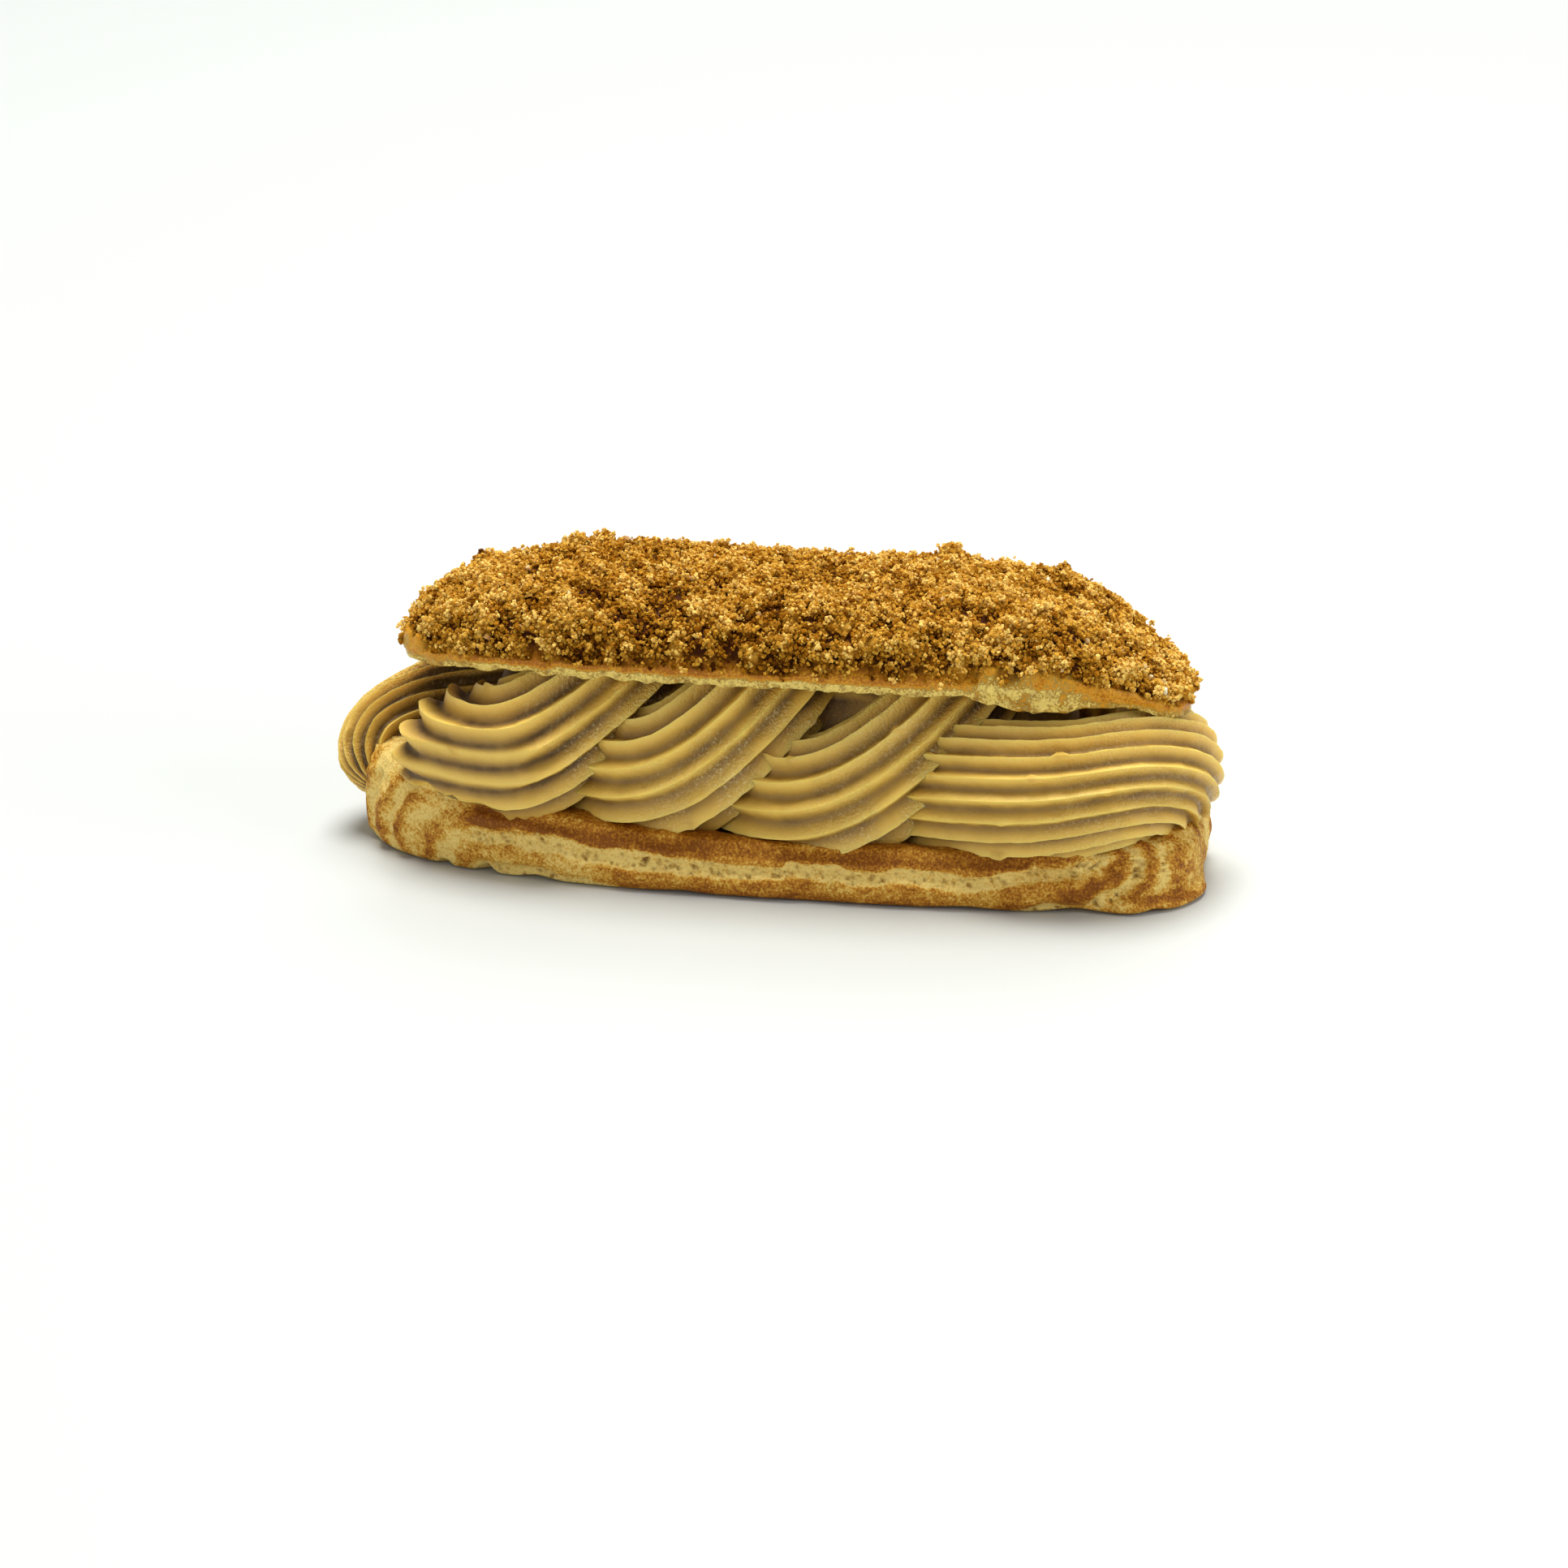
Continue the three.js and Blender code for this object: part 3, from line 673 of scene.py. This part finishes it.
grains = {
    "golden": {"clusters": 2700, "each": 6, "size": (0.18, 0.32), "loose": 0.42, "cover": 0.8, "high": 0.9,
               "tint": (0.6, 0.86), "seed": 1},
    "toasted": {"clusters": 2700, "each": 6, "size": (0.19, 0.33), "loose": 0.42, "cover": 1.4, "high": 0.6,
                "tint": (0.4, 0.7), "seed": 2},
    "brown": {"clusters": 2700, "each": 6, "size": (0.19, 0.35), "loose": 0.45, "cover": 2.4, "high": 0.3,
              "tint": (0.3, 0.56), "seed": 6},
    "fine": {"clusters": 8000, "each": 2, "size": (0.13, 0.25), "loose": 0.25, "cover": 1.0, "high": 0.7,
             "tint": (0.5, 0.8), "seed": 3},
    "dark": {"clusters": 5000, "each": 2, "size": (0.26, 0.44), "loose": 0.4, "cover": 2.5, "high": 0.2,
             "tint": (0.26, 0.5), "seed": 5},
    "sugar": {"clusters": 70, "each": 1, "size": (0.3, 0.5), "loose": 0.0, "cover": 0.5, "high": 0.8,
              "tint": (0.0, 0.8), "seed": 4},
}
# how much paler the crumbs are along the lid, by x; the paler right-hand end is painted light
paler = ((-56, 0.06), (-38, 0.05), (-20, -0.06), (10, -0.04), (28, 0.03), (46, 0.05), (60, 0.18))


def randomTurns(count, rng):
    quat = rng.normal(size=(count, 4))
    w, x, y, z = (quat / np.linalg.norm(quat, axis=1)[:, None]).T
    rows = [[1 - 2 * (y * y + z * z), 2 * (x * y - z * w), 2 * (x * z + y * w)],
            [2 * (x * y + z * w), 1 - 2 * (x * x + z * z), 2 * (y * z - x * w)],
            [2 * (x * z - y * w), 2 * (y * z + x * w), 1 - 2 * (x * x + y * y)]]
    return np.array(rows).transpose(2, 0, 1)


def readMask(mesh, name):
    values = np.empty(len(mesh.vertices), np.float32)
    mesh.attributes[name].data.foreach_get("value", values)
    return values


def makeGrains(kind, base):
    look = grains[kind]
    rng = np.random.default_rng(look["seed"])
    count = look["clusters"] * look["each"]
    bm = bmesh.new()
    bmesh.ops.create_cube(bm, size=1.5)
    lump = np.array([vert.co for vert in bm.verts])
    sides = np.array([[vert.index for vert in face.verts] for face in bm.faces])
    bm.free()
    coated = readMask(base, "coated")
    relief = readMask(base, "relief")
    pick, weights = surfaceSpots(base, look["clusters"], rng, coated ** 2 * (look["cover"] + relief))
    spot = valuesAt(readPoints(base), pick, weights)
    normal = valuesAt(readNormals(base), pick, weights)
    normal /= np.linalg.norm(normal, axis=1)[:, None]
    lift = look["high"] * rng.random(look["clusters"]) ** 2
    low, high = look["tint"]
    tint = low + (high - low) * rng.random(look["clusters"])
    # painted light and shade: grains on high clumps and standing off are paler, those low down darker
    tint += 0.38 * (relief[pick].mean(1) - 0.6) + 0.16 * softNoise(spot / mm, 3.5, 5) + 0.3 * (lift - 0.25)
    steps = np.array(paler)
    tint += np.interp(spot[:, 0] / mm, steps[:, 0], steps[:, 1])
    # the high heaps are paler still, as painted light
    for x, y, height, radius in heaps:
        away = (spot[:, 0] / mm - shiftX - x) ** 2 + (spot[:, 1] / mm - y) ** 2
        tint += 0.22 * np.exp(-away / radius ** 2)
    spot = np.repeat(spot + normal * (lift * mm)[:, None], look["each"], 0)
    spot = spot + rng.normal(size=(count, 3)) * look["loose"] * 0.6 * mm
    low, high = look["size"]
    size = (low + (high - low) * rng.random(count) ** 1.5) * mm
    shape = lump[None] * (0.65 + 0.6 * rng.random((count, len(lump), 1)))
    shape = shape * (0.7 + 0.6 * rng.random((count, 1, 3)))
    shape = np.einsum("nij,nkj->nki", randomTurns(count, rng), shape) * size[:, None, None]
    points = shape + spot[:, None]
    faces = sides[None] + len(lump) * np.arange(count)[:, None, None]
    mesh = bpy.data.meshes.new(kind + "Crumbs")
    mesh.from_pydata(points.reshape(-1, 3), [], faces.reshape(-1, 4))
    tint = np.clip(np.repeat(tint, look["each"]) + 0.07 * rng.normal(size=count), 0, 1)
    addMask(mesh, "tint", np.repeat(tint, len(lump)))
    mesh.update()
    return mesh


def crumbMaterial():
    material, nodes, links = newMaterial("biscuitCrumbs")
    bsdf = nodes["Principled BSDF"]
    setInputs(bsdf, {"Roughness": 0.8, "Specular IOR Level": 0.06, "Subsurface Weight": 0.2,
                     "Subsurface Radius": (1.0, 0.5, 0.15), "Subsurface Scale": 0.0006})
    spots = addMottle(nodes, 900, 3000, 6000)
    level = addMath(nodes, links, "MULTIPLY_ADD", spots["Flecks"], 0.3, meshMask(nodes, "tint"))
    level = addMath(nodes, links, "SUBTRACT", level, 0.15)
    links.new(addRamp(nodes, links, level, crumbStops), bsdf.inputs["Base Color"])
    addBump(nodes, links, spots["Grains"], 0.5, 0.0001)
    return material


sugarStops = ((0.0, (0.5, 0.26, 0.08)), (0.6, (0.66, 0.45, 0.2)), (1.0, (0.86, 0.74, 0.52)))


def sugarMaterial():
    material, nodes, links = newMaterial("sugarCrystals")
    bsdf = nodes["Principled BSDF"]
    setInputs(bsdf, {"Roughness": 0.16, "Subsurface Weight": 0.5, "Subsurface Radius": (1.0, 0.8, 0.5),
                     "Subsurface Scale": 0.001})
    colour = addRamp(nodes, links, meshMask(nodes, "tint"), sugarStops)
    links.new(colour, bsdf.inputs["Base Color"])
    return material


biscuitCrumbs = crumbMaterial()
sugarCrystals = sugarMaterial()
for kind in grains:
    finish = sugarCrystals if kind == "sugar" else biscuitCrumbs
    addPiece(makeGrains(kind, lidMesh), kind + "Crumbs", finish)
print("crumbs done")


# cream: strands with the nozzle's ridges, laid in swags along both sides

cream = {
    "radius": 9.9,
    # flat is the depth against the height, hold keeps the nozzle from turning, twist bends a tail over
    "swag": {"ridges": 15, "flat": 0.8, "twist": 0, "hold": 1.0, "wet": 1.0},
    "tail": {"ridges": 20, "flat": 0.76, "twist": 40, "hold": 0, "wet": 0.45,
             "turn": 9, "sag": 0.8, "head": 0},
    "ridgeDepth": 2.3,
    "crestRound": 0.08,
    "endShare": 0.13,
    "headTurn": 44,
    "steps": 72,
    "spokesPerRidge": 12,
    "easing": 50,
    "coreHalfLength": 44.0,
    "coreHalfWidth": 12.0,
    "coreBottom": 4.0,
    "coreTop": 33.0,
    "seed": 71,
}
# the first swag has an open head on the left, each of the others comes out from behind the one before;
# all hang over the side and climb under the lid; sag is how far one spreads below
swags = (
    {"turn": -17, "sag": 0.2, "head": 1.0,
     "path": ((-47.3, -5.5, 15.0), (-46.5, -8.6, 16.2), (-44.2, -12.6, 17.0), (-38.4, -14.2, 18.3),
              (-33.2, -13.4, 20.5), (-28, -11.4, 24.3), (-23.7, -8.6, 27.6), (-20.8, -3.4, 30.6),
              (-19.4, 3.5, 32.6))},
    {"turn": 0, "sag": 0.8, "head": 0.0,
     "path": ((-34, 1, 13.3), (-28.6, -5.6, 14.2), (-23.6, -10.8, 14.6), (-18.4, -13.4, 15),
              (-12.8, -14, 17.4), (-7.4, -12.8, 21.8), (-2.8, -10.4, 26.1), (0.6, -5, 30.2), (2.2, 3, 32.4))},
    {"turn": 12, "sag": 0.6, "head": 0.0,
     "path": ((-11, 1, 10.4), (-5.6, -5.6, 11.3), (-0.6, -10.8, 11.5), (4.6, -13.4, 11.7), (10.2, -14, 13.4),
              (15.8, -13, 16.8), (21.2, -11, 21.2), (26, -7.6, 25.4), (29, -1, 29.6), (30.4, 5, 31.6))},
)
frontTail = ((18, -5, 13.6), (23.5, -10.4, 15), (30.5, -13.9, 16.2), (38, -15.2, 16.8), (45.3, -15.2, 17.8),
             (52.2, -12.6, 19.3), (56.4, -6.5, 18.2), (57.6, 0.5, 14.7), (56.4, 5.5, 10.8))
rearTail = ((18, -5, 13.6), (23.5, -10.4, 15), (30.5, -13.6, 16.2), (38, -14.2, 16.6), (45, -13.6, 16.4),
            (52.3, -10.6, 15.6), (57.6, -6, 13.6), (61, -1, 10), (61, 3.4, 6.2))


def smoothPath(points, steps):  # a smooth curve through the points, evenly stepped
    knots = np.array(points, float)
    knots = np.vstack([2 * knots[0] - knots[1], knots, 2 * knots[-1] - knots[-2]])
    part = np.linspace(0, 1, 24, endpoint=False)[:, None]
    line = []
    for n in range(1, len(knots) - 2):
        a, b, c, d = knots[n - 1:n + 3]
        line.append(0.5 * (2 * b + (c - a) * part + (2 * a - 5 * b + 4 * c - d) * part ** 2
                           + (3 * b - a - 3 * c + d) * part ** 3))
    line = np.vstack(line + [knots[-2:-1]])
    run = np.concatenate([[0], np.cumsum(np.linalg.norm(np.diff(line, axis=0), axis=1))])
    even = np.linspace(0, run[-1], steps + 1)
    return np.stack([np.interp(even, run, line[:, axis]) for axis in range(3)], 1)


def pathFrames(path, hold):  # outward and upward directions, carried along from the foremost point
    ahead = np.gradient(path, axis=0)
    ahead /= np.linalg.norm(ahead, axis=1)[:, None]
    start = int(np.argmin(path[:, 1]))
    out = np.zeros_like(path)
    first = np.array([0.0, -1.0, 0.0])
    for way in (range(start, len(path)), range(start, -1, -1)):
        current = first
        for n in way:
            current = current - ahead[n] * (current @ ahead[n])
            current = current / np.linalg.norm(current)
            out[n] = current
    up = np.cross(out, ahead)
    later = smoothStep(start, start + 0.3 * len(path), np.arange(len(path)))
    up = up + hold * later[:, None] * up[start]  # the nozzle turns less than the path
    return out, up / np.linalg.norm(up, axis=1)[:, None]


def makeStrand(look, side, seed):
    steps = cream["steps"]
    ridges = look["ridges"]
    spokes = ridges * cream["spokesPerRidge"]
    bm = bmesh.new()
    bmesh.ops.create_cone(bm, cap_ends=True, cap_tris=False, segments=spokes, radius1=1, radius2=1, depth=2)
    upright = [edge for edge in bm.edges if abs(edge.verts[0].co.z - edge.verts[1].co.z) > 1]
    bmesh.ops.subdivide_edges(bm, edges=upright, cuts=steps - 1)
    mesh = toMesh(bm, "strand")
    tube = readPoints(mesh)
    angle = np.arctan2(tube[:, 1], tube[:, 0])
    share = (tube[:, 2] + 1) / 2
    step = np.rint(share * steps).astype(int)
    spoke = np.rint(angle * spokes / (2 * math.pi)).astype(int) % spokes
    path = smoothPath(look["path"], steps)
    out, up = pathFrames(path, look["hold"])
    fromEnd = np.minimum(1, np.minimum(share, 1 - share) / cream["endShare"])
    size = np.maximum(0.12, np.sqrt(1 - (1 - fromEnd) ** 2))
    wave = np.sin(ridges * angle / 2)
    lead = look["head"] * smoothStep(0.34, 0.0, share)
    twist = look["twist"] * smoothStep(0.55, 0.95, share)
    angle = angle + np.radians(look["turn"] + cream["headTurn"] * lead - twist)
    valley = np.sqrt(wave ** 2 + cream["crestRound"] ** 2) - cream["crestRound"]
    ring = np.stack([np.cos(angle), np.sin(angle), share * 6], 1)
    wobble = 0.25 * softNoise(ring, 0.9, seed) + 0.12 * softNoise(ring, 0.3, seed + 1)
    degrees = (np.degrees(angle) + 180) % 360 - 180
    low = smoothStep(-40, -75, degrees) * smoothStep(-150, -110, degrees)
    low = low * smoothStep(9, 3, (path[:, 2] - path[:, 2].min())[step])
    ragged = 0.5 * softNoise(ring, 0.22, seed + 2) + 0.3 * softNoise(ring, 0.09, seed + 3)
    depth = cream["ridgeDepth"] * cream["swag"]["ridges"] / ridges * (1 - 0.5 * low)
    full = cream["radius"] + 1.0 * smoothStep(0.6, 0.35, share)  # fuller at the head
    flat = look["flat"] + 0.35 * look["head"] * smoothStep(0.42, 0.2, share)  # an open head is round
    radius = (full + wobble - depth * valley + low * (look["sag"] + ragged)) * size
    spread = (np.cos(angle) * flat)[:, None] * out[step] + np.sin(angle)[:, None] * up[step]
    points = path[step] + radius[:, None] * spread
    # every ridge is smoothed along its own length, so that it swings round without a kink
    lines = np.zeros((steps + 1, spokes, 3))
    lines[step, spoke] = points
    eased = lines.copy()
    for n in range(cream["easing"]):
        eased[1:-1] = (eased[:-2] + 2 * eased[1:-1] + eased[2:]) / 4
    blend = smoothStep(0.1, 0.22, share) * smoothStep(0.85, 0.7, share)
    points = points + (eased[step, spoke] - points) * blend[:, None]
    edge = points * [1, 0, 0]
    edge = points[:, 2] + 0.9 * softNoise(edge, 3.2, seed + 4) + 0.5 * softNoise(edge, 1.1, seed + 5)
    edge = edge - rimLift(side * points[:, 0])
    width = halfWidthAt(side * points[:, 0] * (look["twist"] == 0))  # a tail hangs over the end instead
    reach = 0.98 * width + 4 * smoothStep(6.4, 9.6, edge)  # the ragged skirt rests on the rim of the shell
    over = np.maximum(0, -points[:, 1] - reach + 0.5)
    points[:, 1] += over * over / (over + 0.5)
    points[:, 2] = np.maximum(points[:, 2], 3)  # nothing comes out under the shell
    writePoints(mesh, points)
    # the valleys are darker, partly the cream's own taupe and partly painted shade; the low underside gets
    # painted shade
    crestAndShade = (1 - valley / valley.max()) * (1 - 0.7 * low)
    wet = smoothStep(0.3, 0.6, share) * (0.5 + 0.5 * smoothStep(20, -30, degrees)) * look["wet"]
    return mesh, crestAndShade, wet


def creamRow(tail, side, seed):
    row = []
    for n, swag in enumerate(swags):
        row.append(makeStrand({**cream["swag"], **swag}, side, seed + 10 * n))
    row.append(makeStrand({**cream["tail"], "path": tail}, side, seed + 40))
    return row


def creamCore():
    mesh = toMesh(gridBox(23, 11, 11), "creamCore")
    ball = readPoints(mesh)
    ball /= np.linalg.norm(ball, axis=1)[:, None]
    middle = (cream["coreTop"] + cream["coreBottom"]) / 2
    narrow = 0.72 - 0.28 * ball[:, 2]  # slimmer towards the top, so that the gaps under the lid are deep
    points = np.stack([cream["coreHalfLength"] * signedPower(ball[:, 0], 0.6),
                       cream["coreHalfWidth"] * narrow * signedPower(ball[:, 1], 0.7),
                       middle + (cream["coreTop"] - middle) * signedPower(ball[:, 2], 0.5)], 1)
    writePoints(mesh, points)
    return mesh


def shellCutter():
    mesh = toMesh(gridBox(79, 25, 9), "shellCutter")
    points = shellShape(readPoints(mesh), -0.1)[0]  # the cream sinks in by this much
    writePoints(mesh, points)
    return mesh


def lidCutter():  # all that lies above the lid's underside
    mesh = toMesh(gridBox(63, 7, 1), "lidCutter")
    box = readPoints(mesh)
    x = lid["centreX"] + (lid["halfLength"] + 14) * box[:, 0]
    z = np.where(box[:, 2] > 0, lid["rimHeight"] + 20, lidRim(x) + 0.1)
    writePoints(mesh, np.stack([x, 30 * box[:, 1], z], 1))
    return mesh


def makeCream():
    front = creamRow(frontTail, 1, cream["seed"])
    rear = creamRow(rearTail, -1, cream["seed"] + 100)
    for mesh, crestAndShade, wet in rear:  # the rear row is a half turn of the front row
        points = readPoints(mesh)
        writePoints(mesh, points * [-1, -1, 1])
    strands = front + rear
    places = np.vstack([readPoints(mesh) for mesh, crestAndShade, wet in strands])
    crestsAndShade = np.concatenate([crestAndShade for mesh, crestAndShade, wet in strands])
    wets = np.concatenate([wet for mesh, crestAndShade, wet in strands])
    group = bpy.data.collections.new("strands")
    objects = []
    for mesh, crestAndShade, wet in strands:
        strand = bpy.data.objects.new("strand", mesh)
        group.objects.link(strand)
        objects.append(strand)
    core = bpy.data.objects.new("creamCore", creamCore())
    bpy.context.scene.collection.children.link(group)
    bpy.context.scene.collection.objects.link(core)
    joined = core.modifiers.new("join", "BOOLEAN")
    joined.operation = "UNION"
    joined.solver = "MANIFOLD"
    joined.operand_type = "COLLECTION"
    joined.collection = group
    for cutter in (shellCutter(), lidCutter()):
        tool = bpy.data.objects.new(cutter.name, cutter)
        bpy.context.scene.collection.objects.link(tool)
        objects.append(tool)
        cut = core.modifiers.new("cut", "BOOLEAN")
        cut.operation = "DIFFERENCE"
        cut.solver = "MANIFOLD"
        cut.object = tool
    bpy.context.view_layer.update()
    depsgraph = bpy.context.evaluated_depsgraph_get()
    mesh = bpy.data.meshes.new_from_object(core.evaluated_get(depsgraph))
    mesh.name = "pipedCream"
    for obj in objects + [core]:
        bpy.data.objects.remove(obj)
    bpy.data.collections.remove(group)
    points = readPoints(mesh)
    tree = kdtree.KDTree(len(places))
    for n, place in enumerate(places):
        tree.insert(place, n)
    tree.balance()
    nearest = [tree.find(point) for point in points]
    crestAndShade = crestsAndShade[[hit[1] for hit in nearest]]
    crestAndShade = np.where(np.array([hit[2] for hit in nearest]) > 1.5, 0.2, crestAndShade)  # the core has no ridges and gets a dark valley tone, partly painted shade
    wet = wets[[hit[1] for hit in nearest]]
    normals = readNormals(mesh)
    seed = cream["seed"]
    # painted shade deep in the gaps under the lid
    paintedGapShade = smoothStep(13, 8, np.abs(points[:, 1])) * smoothStep(22, 27, points[:, 2])
    paintedGapShade = paintedGapShade * smoothStep(46, 38, points[:, 0])
    wet = wet * (1 - paintedGapShade) * smoothStep(-0.45, 0.2, softNoise(points, 4.5, seed + 7))
    shift = 0.12 * softNoise(points, 1.7, seed + 5) + 0.07 * softNoise(points, 0.8, seed + 6)
    shift += 0.15 * wet * softNoise(points, 0.5, seed + 8)
    nicks = smoothStep(0.2, 0.09, cellNoise(points, 5.5, seed + 9)) * smoothStep(0.45, 0.8, crestAndShade)
    shift -= 0.55 * nicks
    writePoints(mesh, placed(points + normals * shift[:, None]))
    # painted shade: darker in the nicks and towards the left under the lid, and darker still at the left-hand
    # end
    crestAndShade = 0.12 + 0.88 * crestAndShade - 0.35 * nicks - 0.08 * smoothStep(-20, -30, points[:, 0])
    crestAndShade -= 0.14 * smoothStep(-50, -56, points[:, 0])
    # painted shade under the left-hand end of the lid
    shade = smoothStep(-61, -53, points[:, 0]) * smoothStep(-36, -42, points[:, 0])
    shade *= smoothStep(-9, -4, points[:, 1]) * smoothStep(20, 13, points[:, 1])
    shade *= smoothStep(17, 22, points[:, 2])
    # both masks darken the colour as painted shade
    crestAndShade -= 0.45 * np.maximum(paintedGapShade, shade)
    addMask(mesh, "crestAndShade", np.clip(crestAndShade, 0, 1))
    addMask(mesh, "wet", wet)
    mesh.shade_smooth()
    mesh.set_sharp_from_angle(angle=math.radians(60))
    return mesh


creamStops = ((0.0, (0.1, 0.05, 0.007)), (0.12, (0.3, 0.165, 0.03)), (0.36, (0.54, 0.325, 0.056)),
              (0.64, (0.74, 0.485, 0.094)), (1.0, (0.86, 0.62, 0.135)))
glintColour = (0.94, 0.76, 0.36)


def creamMaterial():
    material, nodes, links = newMaterial("caramelCream")
    bsdf = nodes["Principled BSDF"]
    setInputs(bsdf, {"Subsurface Weight": 0.25, "Subsurface Radius": (1.0, 0.55, 0.2),
                     "Subsurface Scale": 0.002, "Specular IOR Level": 0.36, "Coat Roughness": 0.2})
    spots = addMottle(nodes, 180, 700, 2200)
    wet = meshMask(nodes, "wet")
    level = addMath(nodes, links, "MULTIPLY_ADD", spots["Patches"], 0.3, meshMask(nodes, "crestAndShade"))
    level = addMath(nodes, links, "SUBTRACT", level, 0.15)
    colour = addRamp(nodes, links, level, creamStops)
    # painted glints: pale specks on the wet arms
    glints = addRange(nodes, links, spots["Grains"], {"From Min": 0.55, "From Max": 0.66, "To Max": 0.55})
    glints = addMath(nodes, links, "MULTIPLY", glints, wet)
    links.new(addMix(nodes, links, glints, colour, glintColour), bsdf.inputs["Base Color"])
    satin = addRange(nodes, links, spots["Flecks"],
                     {"From Min": 0.3, "From Max": 0.7, "To Min": 0.4, "To Max": 0.6})
    links.new(addMath(nodes, links, "MULTIPLY_ADD", wet, -0.32, satin), bsdf.inputs["Roughness"])
    links.new(addMath(nodes, links, "MULTIPLY", wet, 0.5), bsdf.inputs["Coat Weight"])
    rough = addMath(nodes, links, "MULTIPLY_ADD", wet, 8.0, 0.7)  # grainier where it is wet
    grain = addMath(nodes, links, "MULTIPLY", spots["Grains"], rough)
    addBump(nodes, links, addMath(nodes, links, "ADD", spots["Flecks"], grain), 0.5, 0.0003)
    return material


caramelCream = creamMaterial()
addPiece(makeCream(), "pipedCream", caramelCream, ["piped_cream"])
print("cream done")


# floor, light and camera

studio = {  # aim and distance in mm, lights in metres
    "aim": (4.7, -20.0, 18.0),
    "azimuth": 9.0,
    "elevation": 21.2,
    "distance": 645.0,
    "fieldOfView": 20.0,
    "floor": (0.585, 0.605, 0.58),
    "sky": 0.29,
    "lights": (  # name, place, aim, size, power
        ("top", (-0.1, 0.25, 1.78), (0, 0, 0.02), 1.1, 40),
        ("side", (0.9, -0.25, 0.5), (0, 0, 0.03), 0.6, 3.5),
        ("fill", (-0.5, -0.87, 0.2), (-0.02, 0, 0.01), 0.7, 2.0),
        ("back", (0.1, 1.1, 1.3), (0, 0.7, 0), 0.9, 10),
    ),
}


def addLight(name, place, aim, size, power):
    data = bpy.data.lights.new(name, "AREA")
    data.shape = "DISK"
    data.size = size
    data.energy = power
    light = bpy.data.objects.new(name, data)
    light.location = place
    light.rotation_euler = (Vector(aim) - Vector(place)).to_track_quat("-Z", "Y").to_euler()
    bpy.context.scene.collection.objects.link(light)


def makeFloor():
    bm = bmesh.new()
    bmesh.ops.create_grid(bm, x_segments=2, y_segments=2, size=6)
    floor = bpy.data.objects.new("floor", toMesh(bm, "floor"))
    material, nodes, links = newMaterial("paleFloor")
    setInputs(nodes["Principled BSDF"], {"Base Color": (*studio["floor"], 1), "Roughness": 0.45,
                                         "Specular IOR Level": 0.3})
    floor.data.materials.append(material)
    bpy.context.scene.collection.objects.link(floor)


def makeCamera():
    a = math.radians(studio["azimuth"])
    e = math.radians(studio["elevation"])
    back = Vector((math.sin(a) * math.cos(e), -math.cos(a) * math.cos(e), math.sin(e)))
    data = bpy.data.cameras.new("camera")
    data.sensor_fit = "HORIZONTAL"
    data.angle = math.radians(studio["fieldOfView"])
    data.clip_start = 0.01
    camera = bpy.data.objects.new("camera", data)
    camera.location = (Vector(studio["aim"]) + back * studio["distance"]) * mm
    camera.rotation_euler = (-back).to_track_quat("-Z", "Y").to_euler()
    bpy.context.scene.collection.objects.link(camera)
    bpy.context.scene.camera = camera


def makeSky():
    world = bpy.data.worlds.new("sky")
    world.use_nodes = True
    setInputs(world.node_tree.nodes["Background"], {"Color": (1, 1, 1, 1), "Strength": studio["sky"]})
    bpy.context.scene.world = world


makeFloor()
makeSky()
for light in studio["lights"]:
    addLight(*light)
makeCamera()
bpy.context.scene.view_settings.view_transform = "Standard"
print("stage done")
